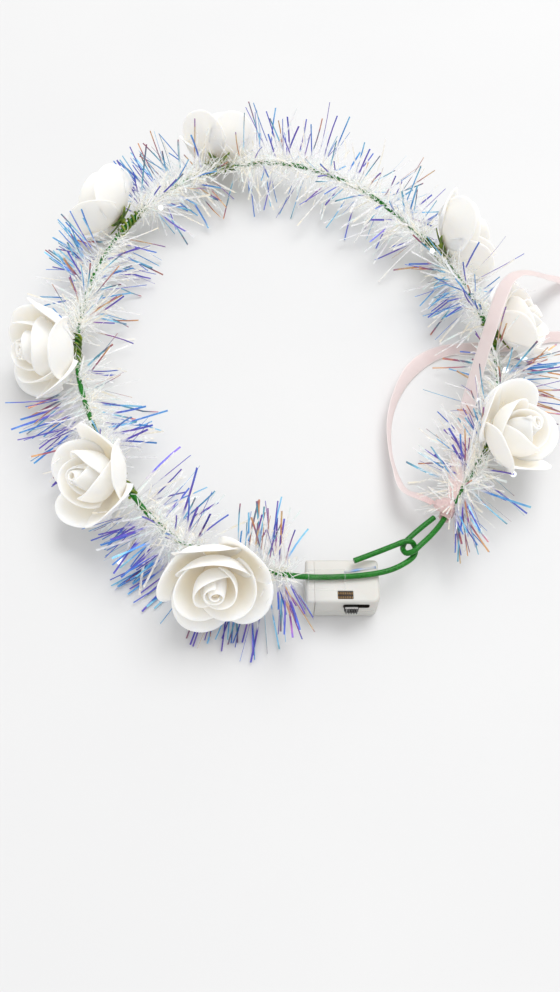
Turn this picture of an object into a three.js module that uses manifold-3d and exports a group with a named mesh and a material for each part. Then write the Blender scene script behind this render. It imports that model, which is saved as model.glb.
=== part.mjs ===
// A light-up flower crown lying on a table: an oval green wire band whose hooked ends interlock,
// white foam roses, tinsel garland, small light beads, a battery case and a knotted pink ribbon.
// Millimetres, +Z up. The table is the plane z = 0, and the crown is seen from the -Y side.
import * as THREE from "three";
import { mergeVertices } from "three/addons/utils/BufferGeometryUtils.js";
import Module from "manifold-3d";

// Clearance between neighbouring pieces, and the middle of the band's oval in the part's frame.
const GAP = 0.3;
const RING_CENTRE = { x: -0.5, y: -2.5 };

// Band wire. The oval's radii run clockwise from its near end, one for every RING_STEP degrees.
const WIRE_RADIUS = 0.95;
const WIRE_SIDES = 6;
const HOOK_STEPS = 2;
const OVAL_STEPS = 3;
const BAND_HEIGHT = 11.5;
const RING_FIRST_TURN = -90;
const RING_STEP = -20;
const RING_RADII = [
  106.6, 99.8, 89.6, 83.2, 82.3, 83.9, 89.4, 98.5, 107.5, 108.6, 98.4, 87.5, 82.8, 83.3, 86.8, 92.0, 98.0,
];
// Hooks, from the cut end to the oval and from the oval to the cut end. Columns: x, y, z.
const LEFT_HOOK = [
  [24.2, -102.5, 15.3],
  [33.0, -99.0, 15.5],
  [38.5, -96.8, 15.8],
  [41.6, -95.6, 15.9],
  [43.9, -95.5, 15.4],
  [45.1, -96.3, 13.9],
  [45.5, -97.6, 12.8],
  [44.6, -99.7, 12.7],
  [40.4, -103.0, 13.2],
  [34.1, -105.8, 13.8],
  [19.4, -107.6, 13.8],
];
const RIGHT_HOOK = [
  [57.9, -83.0, 12.2],
  [54.7, -88.0, 13.4],
  [50.9, -92.7, 14.8],
  [47.1, -96.6, 15.8],
  [44.1, -99.2, 15.7],
  [42.0, -99.5, 15.0],
  [41.1, -97.6, 13.8],
  [41.8, -95.0, 13.0],
  [44.5, -92.1, 12.8],
  [48.6, -88.4, 12.6],
  [53.2, -84.5, 12.3],
];
const CASE_CROSSING_HEIGHT = 13.8;

// Foam roses. Each row of petals is a pleated cup: its profile runs from its foot over its belly to its
// rim (radius, height), a petal's sides drop by roundness, and wrap lays one side over the next petal.
// outside and inside are the levels, from 0 at the foot to 1 at the rim, where the cup's two faces are cut.
const FOAM = 1.5;
const ROSE_STANDOFF = 4.9;
const ROSE_SAMPLES = 15;
const PETAL_SEAM = 0.08;
const PETAL_ROWS = [
  {
    name: "outer", count: 5, turn: 0, wrap: 1.6, roundness: 0.3, outside: [0, 0.3, 0.62, 1], inside: [1, 0.5],
    foot: [2.2, 0], hollow: [10.5, 0], belly: [18.8, 4.5], rim: [18.4, 16.5],
  },
  {
    name: "cup", count: 3, turn: 10, wrap: 1.8, roundness: 0.24, outside: [0.5, 1], inside: [1, 0.6],
    foot: [2.2, 2], hollow: [8, 2.5], belly: [14.2, 9], rim: [12.2, 20.5],
  },
  {
    name: "wrap", count: 1, turn: 4, wrap: 1.4, roundness: 0.1, outside: [0.6, 1], inside: [1, 0.75],
    foot: [2.2, 5], hollow: [5, 7], belly: [8, 13], rim: [6, 22.5],
  },
  {
    name: "bud", count: 1, turn: 14, wrap: 0.7, roundness: 0.04, outside: [0.75, 1], inside: [],
    foot: [2, 9], hollow: [2.2, 12], belly: [2.4, 17], rim: [2.2, 22],
  },
];
// Room that a rose takes up in the tinsel: radius and height above its foot, from its stalk to its top.
const ROSE_ROOM = [
  [7.2, -3.9],
  [14.0, 0.8],
  [22.4, 7.5],
  [23.4, 18.6],
  [15.0, 24.6],
];
const ROSE_ROOM_SIDES = 8;
// turn: place on the oval. heading: way the flower faces, seen from above. tilt: least rise of its axis,
// which grows until its lowest petal rests on the table. spin: about its own stem. size: share of full size.
const ROSES = [
  { turn: -102.5, heading: -87, tilt: 31, spin: 12, size: 0.95 },
  { turn: -130, heading: -149, tilt: 45, spin: 40, size: 0.9 },
  { turn: -175, heading: -154, tilt: 28, spin: 75, size: 0.96 },
  { turn: -223.5, heading: -205, tilt: 10, spin: 20, size: 0.97 },
  { turn: -254.5, heading: -268, tilt: 24, spin: 55, size: 0.95 },
  { turn: -324, heading: -345, tilt: 10, spin: 30, size: 0.97 },
  { turn: -361, heading: -350, tilt: 40, spin: 64, size: 0.86 },
  { turn: -394, heading: -378, tilt: 60, spin: 8, size: 0.88 },
];
const STEEPEST_TILT = 75;
const TILT_STEPS = 20;

// Calyx star, and the stem that is wrapped round the band.
const STEM_WALL = 0.9;
const STEM_LENGTH = 8;
const STEM_SIDES = 4;
const STEM_STEPS = 1;
const STALK_RADIUS = 1.7;
const CALYX_POINTS = 5;
const CALYX_OUTER = 6.5;
const CALYX_INNER = 3.2;
const CALYX_THICKNESS = 0.8;

// Tinsel: a core round the band with flat locks of film that stand off it on all sides.
const TINSEL_CORE_WALL = 0.8;
const TINSEL_CORE_SIDES = 4;
const TINSEL_CORE_STEP = 12;
const LOCK_PITCH = 27;
const LOCKS_PER_WHORL = 4;
const LOCK_FOOT_WIDTH = 1;
const LOCK_TIP_WIDTH = 12;
const LOCK_THICKNESS = 0.8;
const LOCK_SHORTEST = 19;
const LOCK_LONGEST = 27;
const LOCK_LEAN = 0.3;
const LOCK_LOWEST_ANGLE = -40;
const LOCK_FAN_ANGLE = 260;
const LOCK_SCATTER = 0.6;
const LOCK_SEED = 7;
const TINSEL_CLEARANCE = 0.4;
const LOCK_KEPT_SHARE = 0.8;
const GARLAND_START_TURN = -88.5;
const GARLAND_END_TURN = -408;

// Light beads. Columns: place on the oval, then x, y, z of the bead.
const BEAD_RADIUS = 1.1;
const BEAD_SIDES = 5;
const BEAD_RINGS = 3;
const LEAD_WIDTH = 0.6;
const LIGHTS = [
  { turn: -238, x: -54.0, y: 71.5, z: 16 },
  { turn: -315, x: 64.5, y: 41.7, z: 18 },
  { turn: -381, x: 73.2, y: -35.9, z: 16 },
  { turn: -400, x: 83.8, y: -66.5, z: 12 },
  { turn: -119, x: -55.5, y: -99.4, z: 8 },
  { turn: -367, x: 95.8, y: -14.5, z: 14 },
  { turn: -374, x: 87.1, y: -20.9, z: 15 },
  { turn: -404, x: 66.6, y: -62.3, z: 12.6 },
];

// Battery case: its low left near corner, its size and the details of its top and front.
const CASE = { x: 11.0, y: -116.2, width: 21.6, depth: 15.6, height: 12.5 };
const CASE_CORNER_RADIUS = 3.2;
const CASE_CORNER_STEPS = 3;
const CASE_EDGE = 0.6;
const CAP_WIDTH = 2.7;
const CAP_CORNER_RADIUS = 0.9;
const WINDOW = { x: 18.5, y: -115.0, width: 5.2, depth: 3.0, recess: 1.6 };
const CONTACT_RIBS = 5;
const CONTACT_THICKNESS = 0.9;
const CONTACT_RIB_SHARE = 0.6;
const SLOT = { x: 20.4, z: 7.6, width: 8.8, height: 3.2, recess: 3.2 };
const SEAT_THICKNESS = 0.8;
const KNOB = { width: 4.8, height: 2.5, reach: 2.4, ridges: 4, groove: 0.7 };
// Room kept free of tinsel round the case, and how far cuts run past a face.
const CASE_ROOM = { front: 4, back: 1, above: 4 };
const OVERCUT = 1;

// Clear film over the band wire on top of the case.
const TAPE_THICKNESS = 0.3;
const TAPE_FROM = 8.8;
const TAPE_TO = 21.2;
const TAPE_FRONT_FLAP = 4.2;
const TAPE_BACK_FLAP = 3.2;
const TAPE_CREST_HALF_WIDTH = 0.6;
const TAPE_SHOULDER_HALF_WIDTH = 1.75;
const TAPE_SHOULDER_DROP = 1.2;
const TAPE_ABOVE_WIRE = 0.5;
const TAPE_STATION = 10.3;

// Ribbon. Columns: x, y, z of its middle line, and roll, 0 where its face lies flat.
const RIBBON_WIDTH = 6;
const RIBBON_THICKNESS = 0.4;
const RIBBON_STEPS = 25;
const KNOT_RADIUS = 2.7;
const KNOT_LENGTH = 5;
const KNOT_SIDES = 6;
const KNOT_STEPS = 2;
const KNOT_LUMP = { x: -1.2, y: 2.2, z: 2.4, width: 6.8, depth: 5.2, height: 4.4, sides: 7, rings: 4 };
const RIBBON_TAIL_A = [
  [53.2, -79.6, 13.6, 20],
  [50.4, -76.4, 11.8, 25],
  [44.8, -70.9, 8.5, 40],
  [42.7, -61.6, 5.5, 60],
  [41.7, -51.7, 3.8, 66],
  [41.9, -41.0, 3.3, 66],
  [43.5, -31.8, 3.3, 66],
  [46.4, -23.3, 3.2, 62],
  [50.3, -15.3, 2.8, 50],
  [55.1, -8.4, 1.9, 30],
  [62.1, -1.9, 1.0, 10],
  [70.1, 1.8, 0.6, 0],
  [79.5, 2.9, 0.55, 0],
  [88.0, 3.4, 0.55, 0],
  [96.6, 4.5, 0.55, 0],
  [105.4, 6.8, 0.55, 0],
  [113.4, 9.0, 0.55, 0],
  [120.3, 9.3, 0.55, 0],
];
const RIBBON_TAIL_B = [
  [59.6, -78.3, 15.2, 0],
  [60.6, -74.6, 15.6, 0],
  [62.5, -67.3, 16.0, 0],
  [65.1, -57.4, 16.0, 0],
  [68.0, -46.3, 16.0, 0],
  [69.8, -38.5, 19.0, 0],
  [72.1, -31.3, 23.0, -5],
  [73.8, -25.9, 28.0, -10],
  [75.7, -20.6, 33.0, -12],
  [78.1, -13.9, 37.2, -12],
  [81.1, -6.2, 39.6, 0],
  [83.9, -0.6, 40.6, 10],
  [87.8, 4.2, 39.8, 35],
  [93.1, 9.9, 35.5, 45],
  [100.5, 18.2, 27.5, 40],
  [110.8, 28.6, 16.0, 25],
  [119.6, 36.8, 6.5, 10],
  [127.6, 41.2, 0.7, 0],
];

const wasm = await Module();
wasm.setup();
const { degToRad, lerp } = THREE.MathUtils;
const UP = new THREE.Vector3(0, 0, 1);
const MERGE_DISTANCE = 1e-4;
const SEQUENCE_STEP = 16807;
const SEQUENCE_LENGTH = 2147483647;

// Materials.
const greenPlastic = new THREE.MeshStandardMaterial({ color: 0x1f7a2a, roughness: 0.4 });
const whiteFoam = new THREE.MeshStandardMaterial({ color: 0xf7f4ec, roughness: 0.85 });
const leafGreen = new THREE.MeshStandardMaterial({ color: 0x7f9c2b, roughness: 0.7 });
const iridescentFilm = new THREE.MeshStandardMaterial({ color: 0xb9c4f2, roughness: 0.2, metalness: 0.4 });
const clearResin = new THREE.MeshStandardMaterial({ color: 0xf4f8ff, roughness: 0.1 });
const whitePlastic = new THREE.MeshStandardMaterial({ color: 0xeeece6, roughness: 0.45 });
const blackPlastic = new THREE.MeshStandardMaterial({ color: 0x151210, roughness: 0.5 });
const brass = new THREE.MeshStandardMaterial({ color: 0xa5803c, roughness: 0.35, metalness: 1 });
const clearFilm = new THREE.MeshStandardMaterial({
  color: 0xf6f6f4, roughness: 0.15, transparent: true, opacity: 0.3,
});
const pinkSatin = new THREE.MeshStandardMaterial({ color: 0xf3cfd2, roughness: 0.5 });

// Solids: a closed geometry as a solid that can be joined and cut, and back.
function toSolid(geometry) {
  const bare = new THREE.BufferGeometry();
  bare.setAttribute("position", geometry.getAttribute("position"));
  bare.setIndex(geometry.index);
  const merged = mergeVertices(bare, MERGE_DISTANCE);
  const corners = merged.index.array;
  const triVerts = [];
  for (let i = 0; i < corners.length; i += 3) {
    const [a, b, c] = [corners[i], corners[i + 1], corners[i + 2]];
    if (a !== b && b !== c && c !== a) triVerts.push(a, b, c);
  }
  const vertProperties = merged.getAttribute("position").array;
  return new wasm.Manifold(
    new wasm.Mesh({ numProp: 3, vertProperties, triVerts: new Uint32Array(triVerts) }),
  );
}

function toGeometry(solid) {
  const { vertProperties, triVerts } = solid.getMesh();
  const geometry = new THREE.BufferGeometry();
  geometry.setAttribute("position", new THREE.BufferAttribute(vertProperties, 3));
  geometry.setIndex(new THREE.BufferAttribute(triVerts, 1));
  geometry.computeVertexNormals();
  return geometry;
}

function joined(solids) {
  return solids.reduce((whole, piece) => whole.add(piece));
}

function largestBody(solid) {
  return solid.decompose().reduce((best, body) => (body.volume() > best.volume() ? body : best));
}

// Turns a closed geometry's faces outwards, if they point in.
function facingOut(geometry) {
  const point = geometry.getAttribute("position");
  const index = geometry.index.array;
  const corner = [0, 1, 2].map(() => new THREE.Vector3());
  let volume = 0;
  for (let i = 0; i < index.length; i += 3) {
    corner.forEach((v, k) => v.fromBufferAttribute(point, index[i + k]));
    volume += corner[0].dot(corner[1].clone().cross(corner[2]));
  }
  if (volume < 0) {
    for (let i = 0; i < index.length; i += 3) [index[i], index[i + 1]] = [index[i + 1], index[i]];
  }
  return geometry;
}

// A closed surface through rings of points, with its two ends closed, or joined where it is looped.
function skinRings(rings, looped = false) {
  const count = rings[0].length;
  const index = [];
  const spans = looped ? rings.length : rings.length - 1;
  for (let i = 0; i < spans; i++) {
    const a = i * count;
    const b = ((i + 1) % rings.length) * count;
    for (let j = 0; j < count; j++) {
      const k = (j + 1) % count;
      index.push(a + j, b + j, b + k, a + j, b + k, a + k);
    }
  }
  if (!looped) {
    const end = (rings.length - 1) * count;
    for (let j = 0; 2 * j + 2 < count; j++) {
      const [a, b, c, d] = [j, j + 1, count - 2 - j, count - 1 - j];
      index.push(a, b, d, end + a, end + d, end + b);
      if (b < c) index.push(b, c, d, end + b, end + d, end + c);
    }
  }
  const geometry = new THREE.BufferGeometry().setFromPoints(rings.flat());
  geometry.setIndex(new THREE.BufferAttribute(new Uint32Array(index), 1));
  return facingOut(geometry);
}

function boxSolid(low, high) {
  const size = high.map((value, i) => value - low[i]);
  const box = new THREE.BoxGeometry(...size);
  box.translate(...low.map((value, i) => value + size[i] / 2));
  return toSolid(box);
}

// The band's middle line. Each of its spans between stations is cut into steps, more on the long oval.
class BandPath extends THREE.CatmullRomCurve3 {
  getUtoTmapping(u) {
    let rest = u * BAND_STEPS;
    let span = 0;
    while (span < BAND_SPANS - 1 && rest >= spanSteps[span]) rest -= spanSteps[span++];
    return (span + rest / spanSteps[span]) / BAND_SPANS;
  }
}

function ringPoint(station) {
  const turn = degToRad(RING_FIRST_TURN + station * RING_STEP);
  const height = station === 0 ? CASE_CROSSING_HEIGHT : BAND_HEIGHT;
  const radius = RING_RADII[station];
  return new THREE.Vector3(radius * Math.cos(turn), radius * Math.sin(turn), height);
}

const bandPath = new BandPath([
  ...LEFT_HOOK.map((row) => new THREE.Vector3(...row)),
  ...RING_RADII.map((_, station) => ringPoint(station)),
  ...RIGHT_HOOK.map((row) => new THREE.Vector3(...row)),
]);
const BAND_SPANS = bandPath.points.length - 1;
const spanSteps = Array.from({ length: BAND_SPANS }, (_, span) => {
  const onHook = span < LEFT_HOOK.length - 1 || span >= LEFT_HOOK.length + RING_RADII.length;
  return onHook ? HOOK_STEPS : OVAL_STEPS;
});
const BAND_STEPS = spanSteps.reduce((sum, steps) => sum + steps);

// Place along the band's middle line, from 0 to 1, of a turn on the oval.
function bandPlace(turn) {
  return (LEFT_HOOK.length + (turn - RING_FIRST_TURN) / RING_STEP) / BAND_SPANS;
}

function turnMargin(turn, distance) {
  return THREE.MathUtils.radToDeg(distance / bandPath.getPoint(bandPlace(turn)).length());
}

// Directions at a place on the band: along it, level across it to the outside, and up.
function bandFrame(place) {
  const along = bandPath.getTangent(place).normalize();
  const out = along.clone().cross(UP).normalize();
  const outward = out.dot(bandPath.getPoint(place)) < 0 ? out.negate() : out;
  const up = outward.clone().cross(along).normalize();
  return { along, outward, up: up.z < 0 ? up.negate() : up };
}

// A many-sided wall about the band between two places, open at both ends. Radii reach its flats.
function bandSleeve(from, to, inner, outer, sides, steps) {
  const ringsOf = (radius) =>
    Array.from({ length: steps + 1 }, (_, i) => {
      const place = lerp(from, to, i / steps);
      const { outward, up } = bandFrame(place);
      const middle = bandPath.getPoint(place);
      const corner = radius / Math.cos(Math.PI / sides);
      return Array.from({ length: sides }, (_, j) => {
        const angle = (2 * Math.PI * j) / sides;
        return middle
          .clone()
          .addScaledVector(outward, corner * Math.cos(angle))
          .addScaledVector(up, corner * Math.sin(angle));
      });
    });
  return toSolid(skinRings([...ringsOf(outer), ...ringsOf(inner).reverse()], true));
}

function bandWire() {
  const section = new THREE.Shape();
  section.absarc(0, 0, WIRE_RADIUS, 0, 2 * Math.PI, false);
  return new THREE.ExtrudeGeometry(section, {
    steps: BAND_STEPS,
    curveSegments: WIRE_SIDES / 2,
    extrudePath: bandPath,
    bevelEnabled: false,
  });
}

// Rose. A point of a petal row's middle sheet: u runs across a petal from -1 to 1, v from foot to rim.
function petalPoint(row, profile, index, u, v, offset) {
  const rise = v * (1 - row.roundness * Math.abs(u) ** 3);
  const { x: radius, y: height } = profile.getPoint(rise);
  const slope = profile.getTangent(rise);
  const across = (u + 1) / 2;
  const angle = degToRad(row.turn + (360 / row.count) * (index + across * (1 - PETAL_SEAM)));
  const wrapped = radius + row.wrap * u * rise + offset * slope.y;
  const level = height - offset * slope.x;
  return new THREE.Vector3(wrapped * Math.cos(angle), wrapped * Math.sin(angle), level);
}

function petalRings(row) {
  const profile = new THREE.CubicBezierCurve(
    ...[row.foot, row.hollow, row.belly, row.rim].map((pair) => new THREE.Vector2(...pair)),
  );
  const across = ROSE_SAMPLES / row.count;
  const ringAt = (v, offset) =>
    Array.from({ length: ROSE_SAMPLES }, (_, i) => {
      const u = -1 + (2 * (i % across)) / (across - 1);
      return petalPoint(row, profile, Math.floor(i / across), u, v, offset);
    });
  return [...row.outside.map((v) => ringAt(v, FOAM / 2)), ...row.inside.map((v) => ringAt(v, -FOAM / 2))];
}

function roseFlower() {
  return skinRings(PETAL_ROWS.flatMap((row) => petalRings(row)));
}

// A rose's own axis is turned from +Z to its heading, with the tilt that rests its lowest petal.
function roseMatrix(rose, tilt) {
  const stem = bandPath.getPoint(bandPlace(rose.turn));
  const heading = degToRad(rose.heading);
  const rise = degToRad(tilt);
  const axis = new THREE.Vector3(
    Math.cos(heading) * Math.cos(rise),
    Math.sin(heading) * Math.cos(rise),
    Math.sin(rise),
  );
  const place = new THREE.Matrix4().makeTranslation(stem.addScaledVector(axis, ROSE_STANDOFF));
  const side = UP.clone().cross(axis).normalize();
  const turn = new THREE.Matrix4().makeBasis(side, axis.clone().cross(side), axis);
  const spin = new THREE.Matrix4().makeRotationZ(degToRad(rose.spin));
  return place.multiply(turn).multiply(spin).scale(new THREE.Vector3().setScalar(rose.size));
}

function restedRose(rose, geometry) {
  const lowest = (tilt) => {
    const placed = geometry.clone().applyMatrix4(roseMatrix(rose, tilt));
    placed.computeBoundingBox();
    return placed.boundingBox.min.z;
  };
  if (lowest(rose.tilt) >= 0) return roseMatrix(rose, rose.tilt);
  let [low, high] = [rose.tilt, STEEPEST_TILT];
  for (let step = 0; step < TILT_STEPS; step++) {
    const tilt = (low + high) / 2;
    if (lowest(tilt) < 0) low = tilt;
    else high = tilt;
  }
  return roseMatrix(rose, high);
}

// The room that a rose takes up, for cutting the tinsel back from it.
function roseRoom(matrix) {
  const [foot, top] = [ROSE_ROOM[0][1], ROSE_ROOM.at(-1)[1]];
  const profile = [[0, foot], ...ROSE_ROOM, [0, top]].map((pair) => new THREE.Vector2(...pair));
  const room = new THREE.LatheGeometry(profile, ROSE_ROOM_SIDES).rotateX(Math.PI / 2).applyMatrix4(matrix);
  return toSolid(facingOut(room));
}

// Calyx star under the rose, its stalk, and the stem wound round the band.
function calyx(rose, matrix) {
  const star = new THREE.Shape();
  for (let i = 0; i < 2 * CALYX_POINTS; i++) {
    const radius = i % 2 ? CALYX_INNER : CALYX_OUTER;
    const angle = (Math.PI * i) / CALYX_POINTS;
    const corner = [radius * Math.cos(angle), radius * Math.sin(angle)];
    if (i) star.lineTo(...corner);
    else star.moveTo(...corner);
  }
  const starTop = -FOAM / 2 - GAP;
  const leaf = new THREE.ExtrudeGeometry(star, { depth: CALYX_THICKNESS, bevelEnabled: false });
  leaf.translate(0, 0, starTop - CALYX_THICKNESS).applyMatrix4(matrix);
  const stalkFoot = -ROSE_STANDOFF + WIRE_RADIUS + 2 * GAP;
  const stalkLength = starTop - CALYX_THICKNESS / 2 - stalkFoot;
  const stalk = new THREE.CylinderGeometry(STALK_RADIUS, STALK_RADIUS, stalkLength, STEM_SIDES);
  stalk.rotateX(Math.PI / 2).translate(0, 0, stalkFoot + stalkLength / 2).applyMatrix4(matrix);
  const margin = turnMargin(rose.turn, STEM_LENGTH / 2);
  const stem = bandSleeve(
    bandPlace(rose.turn + margin),
    bandPlace(rose.turn - margin),
    WIRE_RADIUS + GAP,
    WIRE_RADIUS + GAP + STEM_WALL,
    STEM_SIDES,
    STEM_STEPS,
  );
  return joined([stem, toSolid(stalk), toSolid(leaf)]);
}

// Tinsel. A small fixed sequence spreads the locks in an uneven but repeatable way.
function sequence(seed) {
  let state = seed;
  return () => {
    state = (state * SEQUENCE_STEP) % SEQUENCE_LENGTH;
    return state / SEQUENCE_LENGTH;
  };
}

// One flat lock from the band at a place, towards an angle about it: 0 outwards, 90 up, 180 inwards.
function tinselLock(place, angle, length, lean) {
  const { along, outward, up } = bandFrame(place);
  const foot = bandPath.getPoint(place);
  const lowest = -(foot.z - 2 * LOCK_THICKNESS) / length;
  const level = Math.cos(degToRad(angle));
  const rise = Math.max(Math.sin(degToRad(angle)), lowest);
  const way = new THREE.Vector3()
    .addScaledVector(outward, Math.sign(level) * Math.sqrt(1 - rise * rise))
    .addScaledVector(up, rise)
    .addScaledVector(along, lean)
    .normalize();
  const side = along.clone().addScaledVector(way, -along.dot(way)).normalize();
  const face = way.clone().cross(side);
  const corners = [[-1, -1], [1, -1], [1, 1], [-1, 1]];
  const ringAt = (distance, width) =>
    corners.map(([a, b]) =>
      foot
        .clone()
        .addScaledVector(way, distance)
        .addScaledVector(side, (a * width) / 2)
        .addScaledVector(face, (b * LOCK_THICKNESS) / 2),
    );
  const start = WIRE_RADIUS + GAP + TINSEL_CORE_WALL / 4;
  return toSolid(skinRings([ringAt(start, LOCK_FOOT_WIDTH), ringAt(length, LOCK_TIP_WIDTH)]));
}

// A stretch of the core with its locks. Locks that lose most of their length to the rooms are left out.
function tinselStretch(fromTurn, toTurn, rooms, draw) {
  const from = bandPlace(fromTurn);
  const to = bandPlace(toTurn);
  const reach = bandPath.getPoint(from).distanceTo(bandPath.getPoint(to));
  const steps = Math.max(2, Math.round(reach / TINSEL_CORE_STEP));
  const inner = WIRE_RADIUS + GAP;
  const core = bandSleeve(from, to, inner, inner + TINSEL_CORE_WALL, TINSEL_CORE_SIDES, steps);
  const whorls = Math.max(2, Math.round(reach / LOCK_PITCH));
  const locks = [];
  for (let whorl = 0; whorl < whorls; whorl++) {
    for (let i = 0; i < LOCKS_PER_WHORL; i++) {
      const place = lerp(from, to, (whorl + 0.5 + LOCK_SCATTER * (draw() - 0.5)) / whorls);
      const share = (i + 0.5 + LOCK_SCATTER * (draw() - 0.5)) / LOCKS_PER_WHORL;
      const angle = LOCK_LOWEST_ANGLE + LOCK_FAN_ANGLE * share;
      const length = lerp(LOCK_SHORTEST, LOCK_LONGEST, draw());
      const lock = tinselLock(place, angle, length, LOCK_LEAN * (2 * draw() - 1));
      const kept = lock.subtract(rooms);
      if (kept.volume() > LOCK_KEPT_SHARE * lock.volume()) locks.push(kept);
    }
  }
  return joined([core, ...locks]);
}

// Cuts a stretch of tinsel off square to the band at its two ends.
function trimmedStretch(solid, fromTurn, toTurn) {
  const ends = [
    [fromTurn, 1],
    [toTurn, -1],
  ];
  return ends.reduce((rest, [turn, way]) => {
    const place = bandPlace(turn);
    const { along } = bandFrame(place);
    const normal = new THREE.Vector3(along.x, along.y, 0).normalize().multiplyScalar(way);
    const offset = normal.dot(bandPath.getPoint(place)) + GAP / 2;
    return rest.trimByPlane(normal.toArray(), offset);
  }, solid);
}

// Light bead on its straight lead, which ends just off the tinsel's core. extra thickens both.
function lightBead(light, extra) {
  const bead = new THREE.Vector3(light.x, light.y, light.z);
  const foot = bandPath.getPoint(bandPlace(light.turn));
  const way = foot.clone().sub(bead).normalize();
  const coreRadius = WIRE_RADIUS + GAP + TINSEL_CORE_WALL;
  const length = bead.distanceTo(foot) - coreRadius - GAP;
  const ball = new THREE.SphereGeometry(BEAD_RADIUS + extra, BEAD_SIDES, BEAD_RINGS);
  ball.translate(bead.x, bead.y, bead.z);
  const lead = new THREE.BoxGeometry(LEAD_WIDTH + 2 * extra, LEAD_WIDTH + 2 * extra, length + extra);
  lead.translate(0, 0, (length + extra) / 2);
  const turn = new THREE.Quaternion().setFromUnitVectors(UP, way);
  lead.applyQuaternion(turn).translate(bead.x, bead.y, bead.z);
  return toSolid(ball).add(toSolid(lead));
}

// Battery case: a block with round corners at its right end, soft top edges, a window and a slot.
function roundedBlock(x, width, cornerRadius, cornerSteps) {
  const { y, depth, height } = CASE;
  const inset = CASE_EDGE;
  const r = cornerRadius - inset;
  const [x0, x1, y0, y1] = [x + inset, x + width - inset, y + inset, y + depth - inset];
  const plan = new THREE.Shape();
  plan.moveTo(x0, y0);
  plan.lineTo(x1 - r, y0);
  plan.absarc(x1 - r, y0 + r, r, -Math.PI / 2, 0, false);
  plan.absarc(x1 - r, y1 - r, r, 0, Math.PI / 2, false);
  plan.lineTo(x0, y1);
  plan.closePath();
  const block = new THREE.ExtrudeGeometry(plan, {
    depth: height - 2 * inset, bevelThickness: inset, bevelSize: inset, bevelSegments: 1,
    curveSegments: cornerSteps,
  });
  block.translate(0, 0, inset);
  return toSolid(block);
}

function batteryCase() {
  const { y, height } = CASE;
  const windowCut = boxSolid(
    [WINDOW.x, WINDOW.y, height - WINDOW.recess],
    [WINDOW.x + WINDOW.width, WINDOW.y + WINDOW.depth, height + OVERCUT],
  );
  const slotCut = boxSolid(
    [SLOT.x, y - OVERCUT, SLOT.z],
    [SLOT.x + SLOT.width, y + SLOT.recess, SLOT.z + SLOT.height],
  );
  const block = roundedBlock(CASE.x, CASE.width, CASE_CORNER_RADIUS, CASE_CORNER_STEPS);
  return block.subtract(windowCut).subtract(slotCut);
}

function batteryCap() {
  return roundedBlock(CASE.x - CAP_WIDTH - GAP, CAP_WIDTH, CAP_CORNER_RADIUS, 1);
}

// Brass plate in the window, with ribs across it.
function contactPlate() {
  const bottom = CASE.height - WINDOW.recess + GAP;
  const [x0, x1] = [WINDOW.x + GAP, WINDOW.x + WINDOW.width - GAP];
  const [y0, y1] = [WINDOW.y + GAP, WINDOW.y + WINDOW.depth - GAP];
  const plate = boxSolid([x0, y0, bottom], [x1, y1, bottom + CONTACT_THICKNESS / 2]);
  const pitch = (x1 - x0) / CONTACT_RIBS;
  const ribs = Array.from({ length: CONTACT_RIBS }, (_, i) =>
    boxSolid(
      [x0 + pitch * (i + (1 - CONTACT_RIB_SHARE) / 2), y0, bottom + CONTACT_THICKNESS / 4],
      [x0 + pitch * (i + (1 + CONTACT_RIB_SHARE) / 2), y1, bottom + CONTACT_THICKNESS],
    ),
  );
  return joined([plate, ...ribs]);
}

function switchSeat() {
  const back = CASE.y + SLOT.recess - GAP;
  return boxSolid(
    [SLOT.x + GAP, back - SEAT_THICKNESS, SLOT.z + GAP],
    [SLOT.x + SLOT.width - GAP, back, SLOT.z + SLOT.height - GAP],
  );
}

// Sliding knob at the left end of its slot, with grip ridges cut down its front.
function switchKnob() {
  const x = SLOT.x + GAP;
  const z = SLOT.z + (SLOT.height - KNOB.height) / 2;
  const front = CASE.y - KNOB.reach;
  const back = CASE.y + SLOT.recess - SEAT_THICKNESS - 2 * GAP;
  const body = boxSolid([x, front, z], [x + KNOB.width, back, z + KNOB.height]);
  const pitch = KNOB.width / (KNOB.ridges + 0.5);
  const groove = (left) =>
    boxSolid(
      [left, front - OVERCUT, z - OVERCUT],
      [left + pitch / 2, front + KNOB.groove, z + KNOB.height + OVERCUT],
    );
  return Array.from({ length: KNOB.ridges }, (_, i) => x + pitch * (i + 0.5)).reduce(
    (knob, left) => knob.subtract(groove(left)),
    body,
  );
}

// Clear film laid over the wire like a low tent, down to the case on both sides.
function clearTape() {
  const wire = bandPath.getPoint(TAPE_STATION / BAND_SPANS);
  const flat = CASE.height + GAP;
  const crest = wire.z + WIRE_RADIUS + TAPE_ABOVE_WIRE;
  const under = [
    [-TAPE_FRONT_FLAP, flat],
    [-TAPE_SHOULDER_HALF_WIDTH, crest - TAPE_SHOULDER_DROP],
    [-TAPE_CREST_HALF_WIDTH, crest],
    [TAPE_CREST_HALF_WIDTH, crest],
    [TAPE_SHOULDER_HALF_WIDTH, crest - TAPE_SHOULDER_DROP],
    [TAPE_BACK_FLAP, flat],
  ];
  const outline = [
    ...under.map(([y, z]) => new THREE.Vector2(y + wire.y, z)),
    ...under.map(([y, z]) => new THREE.Vector2(y + wire.y, z + TAPE_THICKNESS)).reverse(),
  ];
  const film = new THREE.ExtrudeGeometry(new THREE.Shape(outline), {
    depth: TAPE_TO - TAPE_FROM, bevelEnabled: false,
  });
  const turn = new THREE.Matrix4().makeBasis(
    new THREE.Vector3(0, 1, 0),
    UP,
    new THREE.Vector3(1, 0, 0),
  );
  return toSolid(film.applyMatrix4(turn).translate(TAPE_FROM, 0, 0));
}

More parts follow.
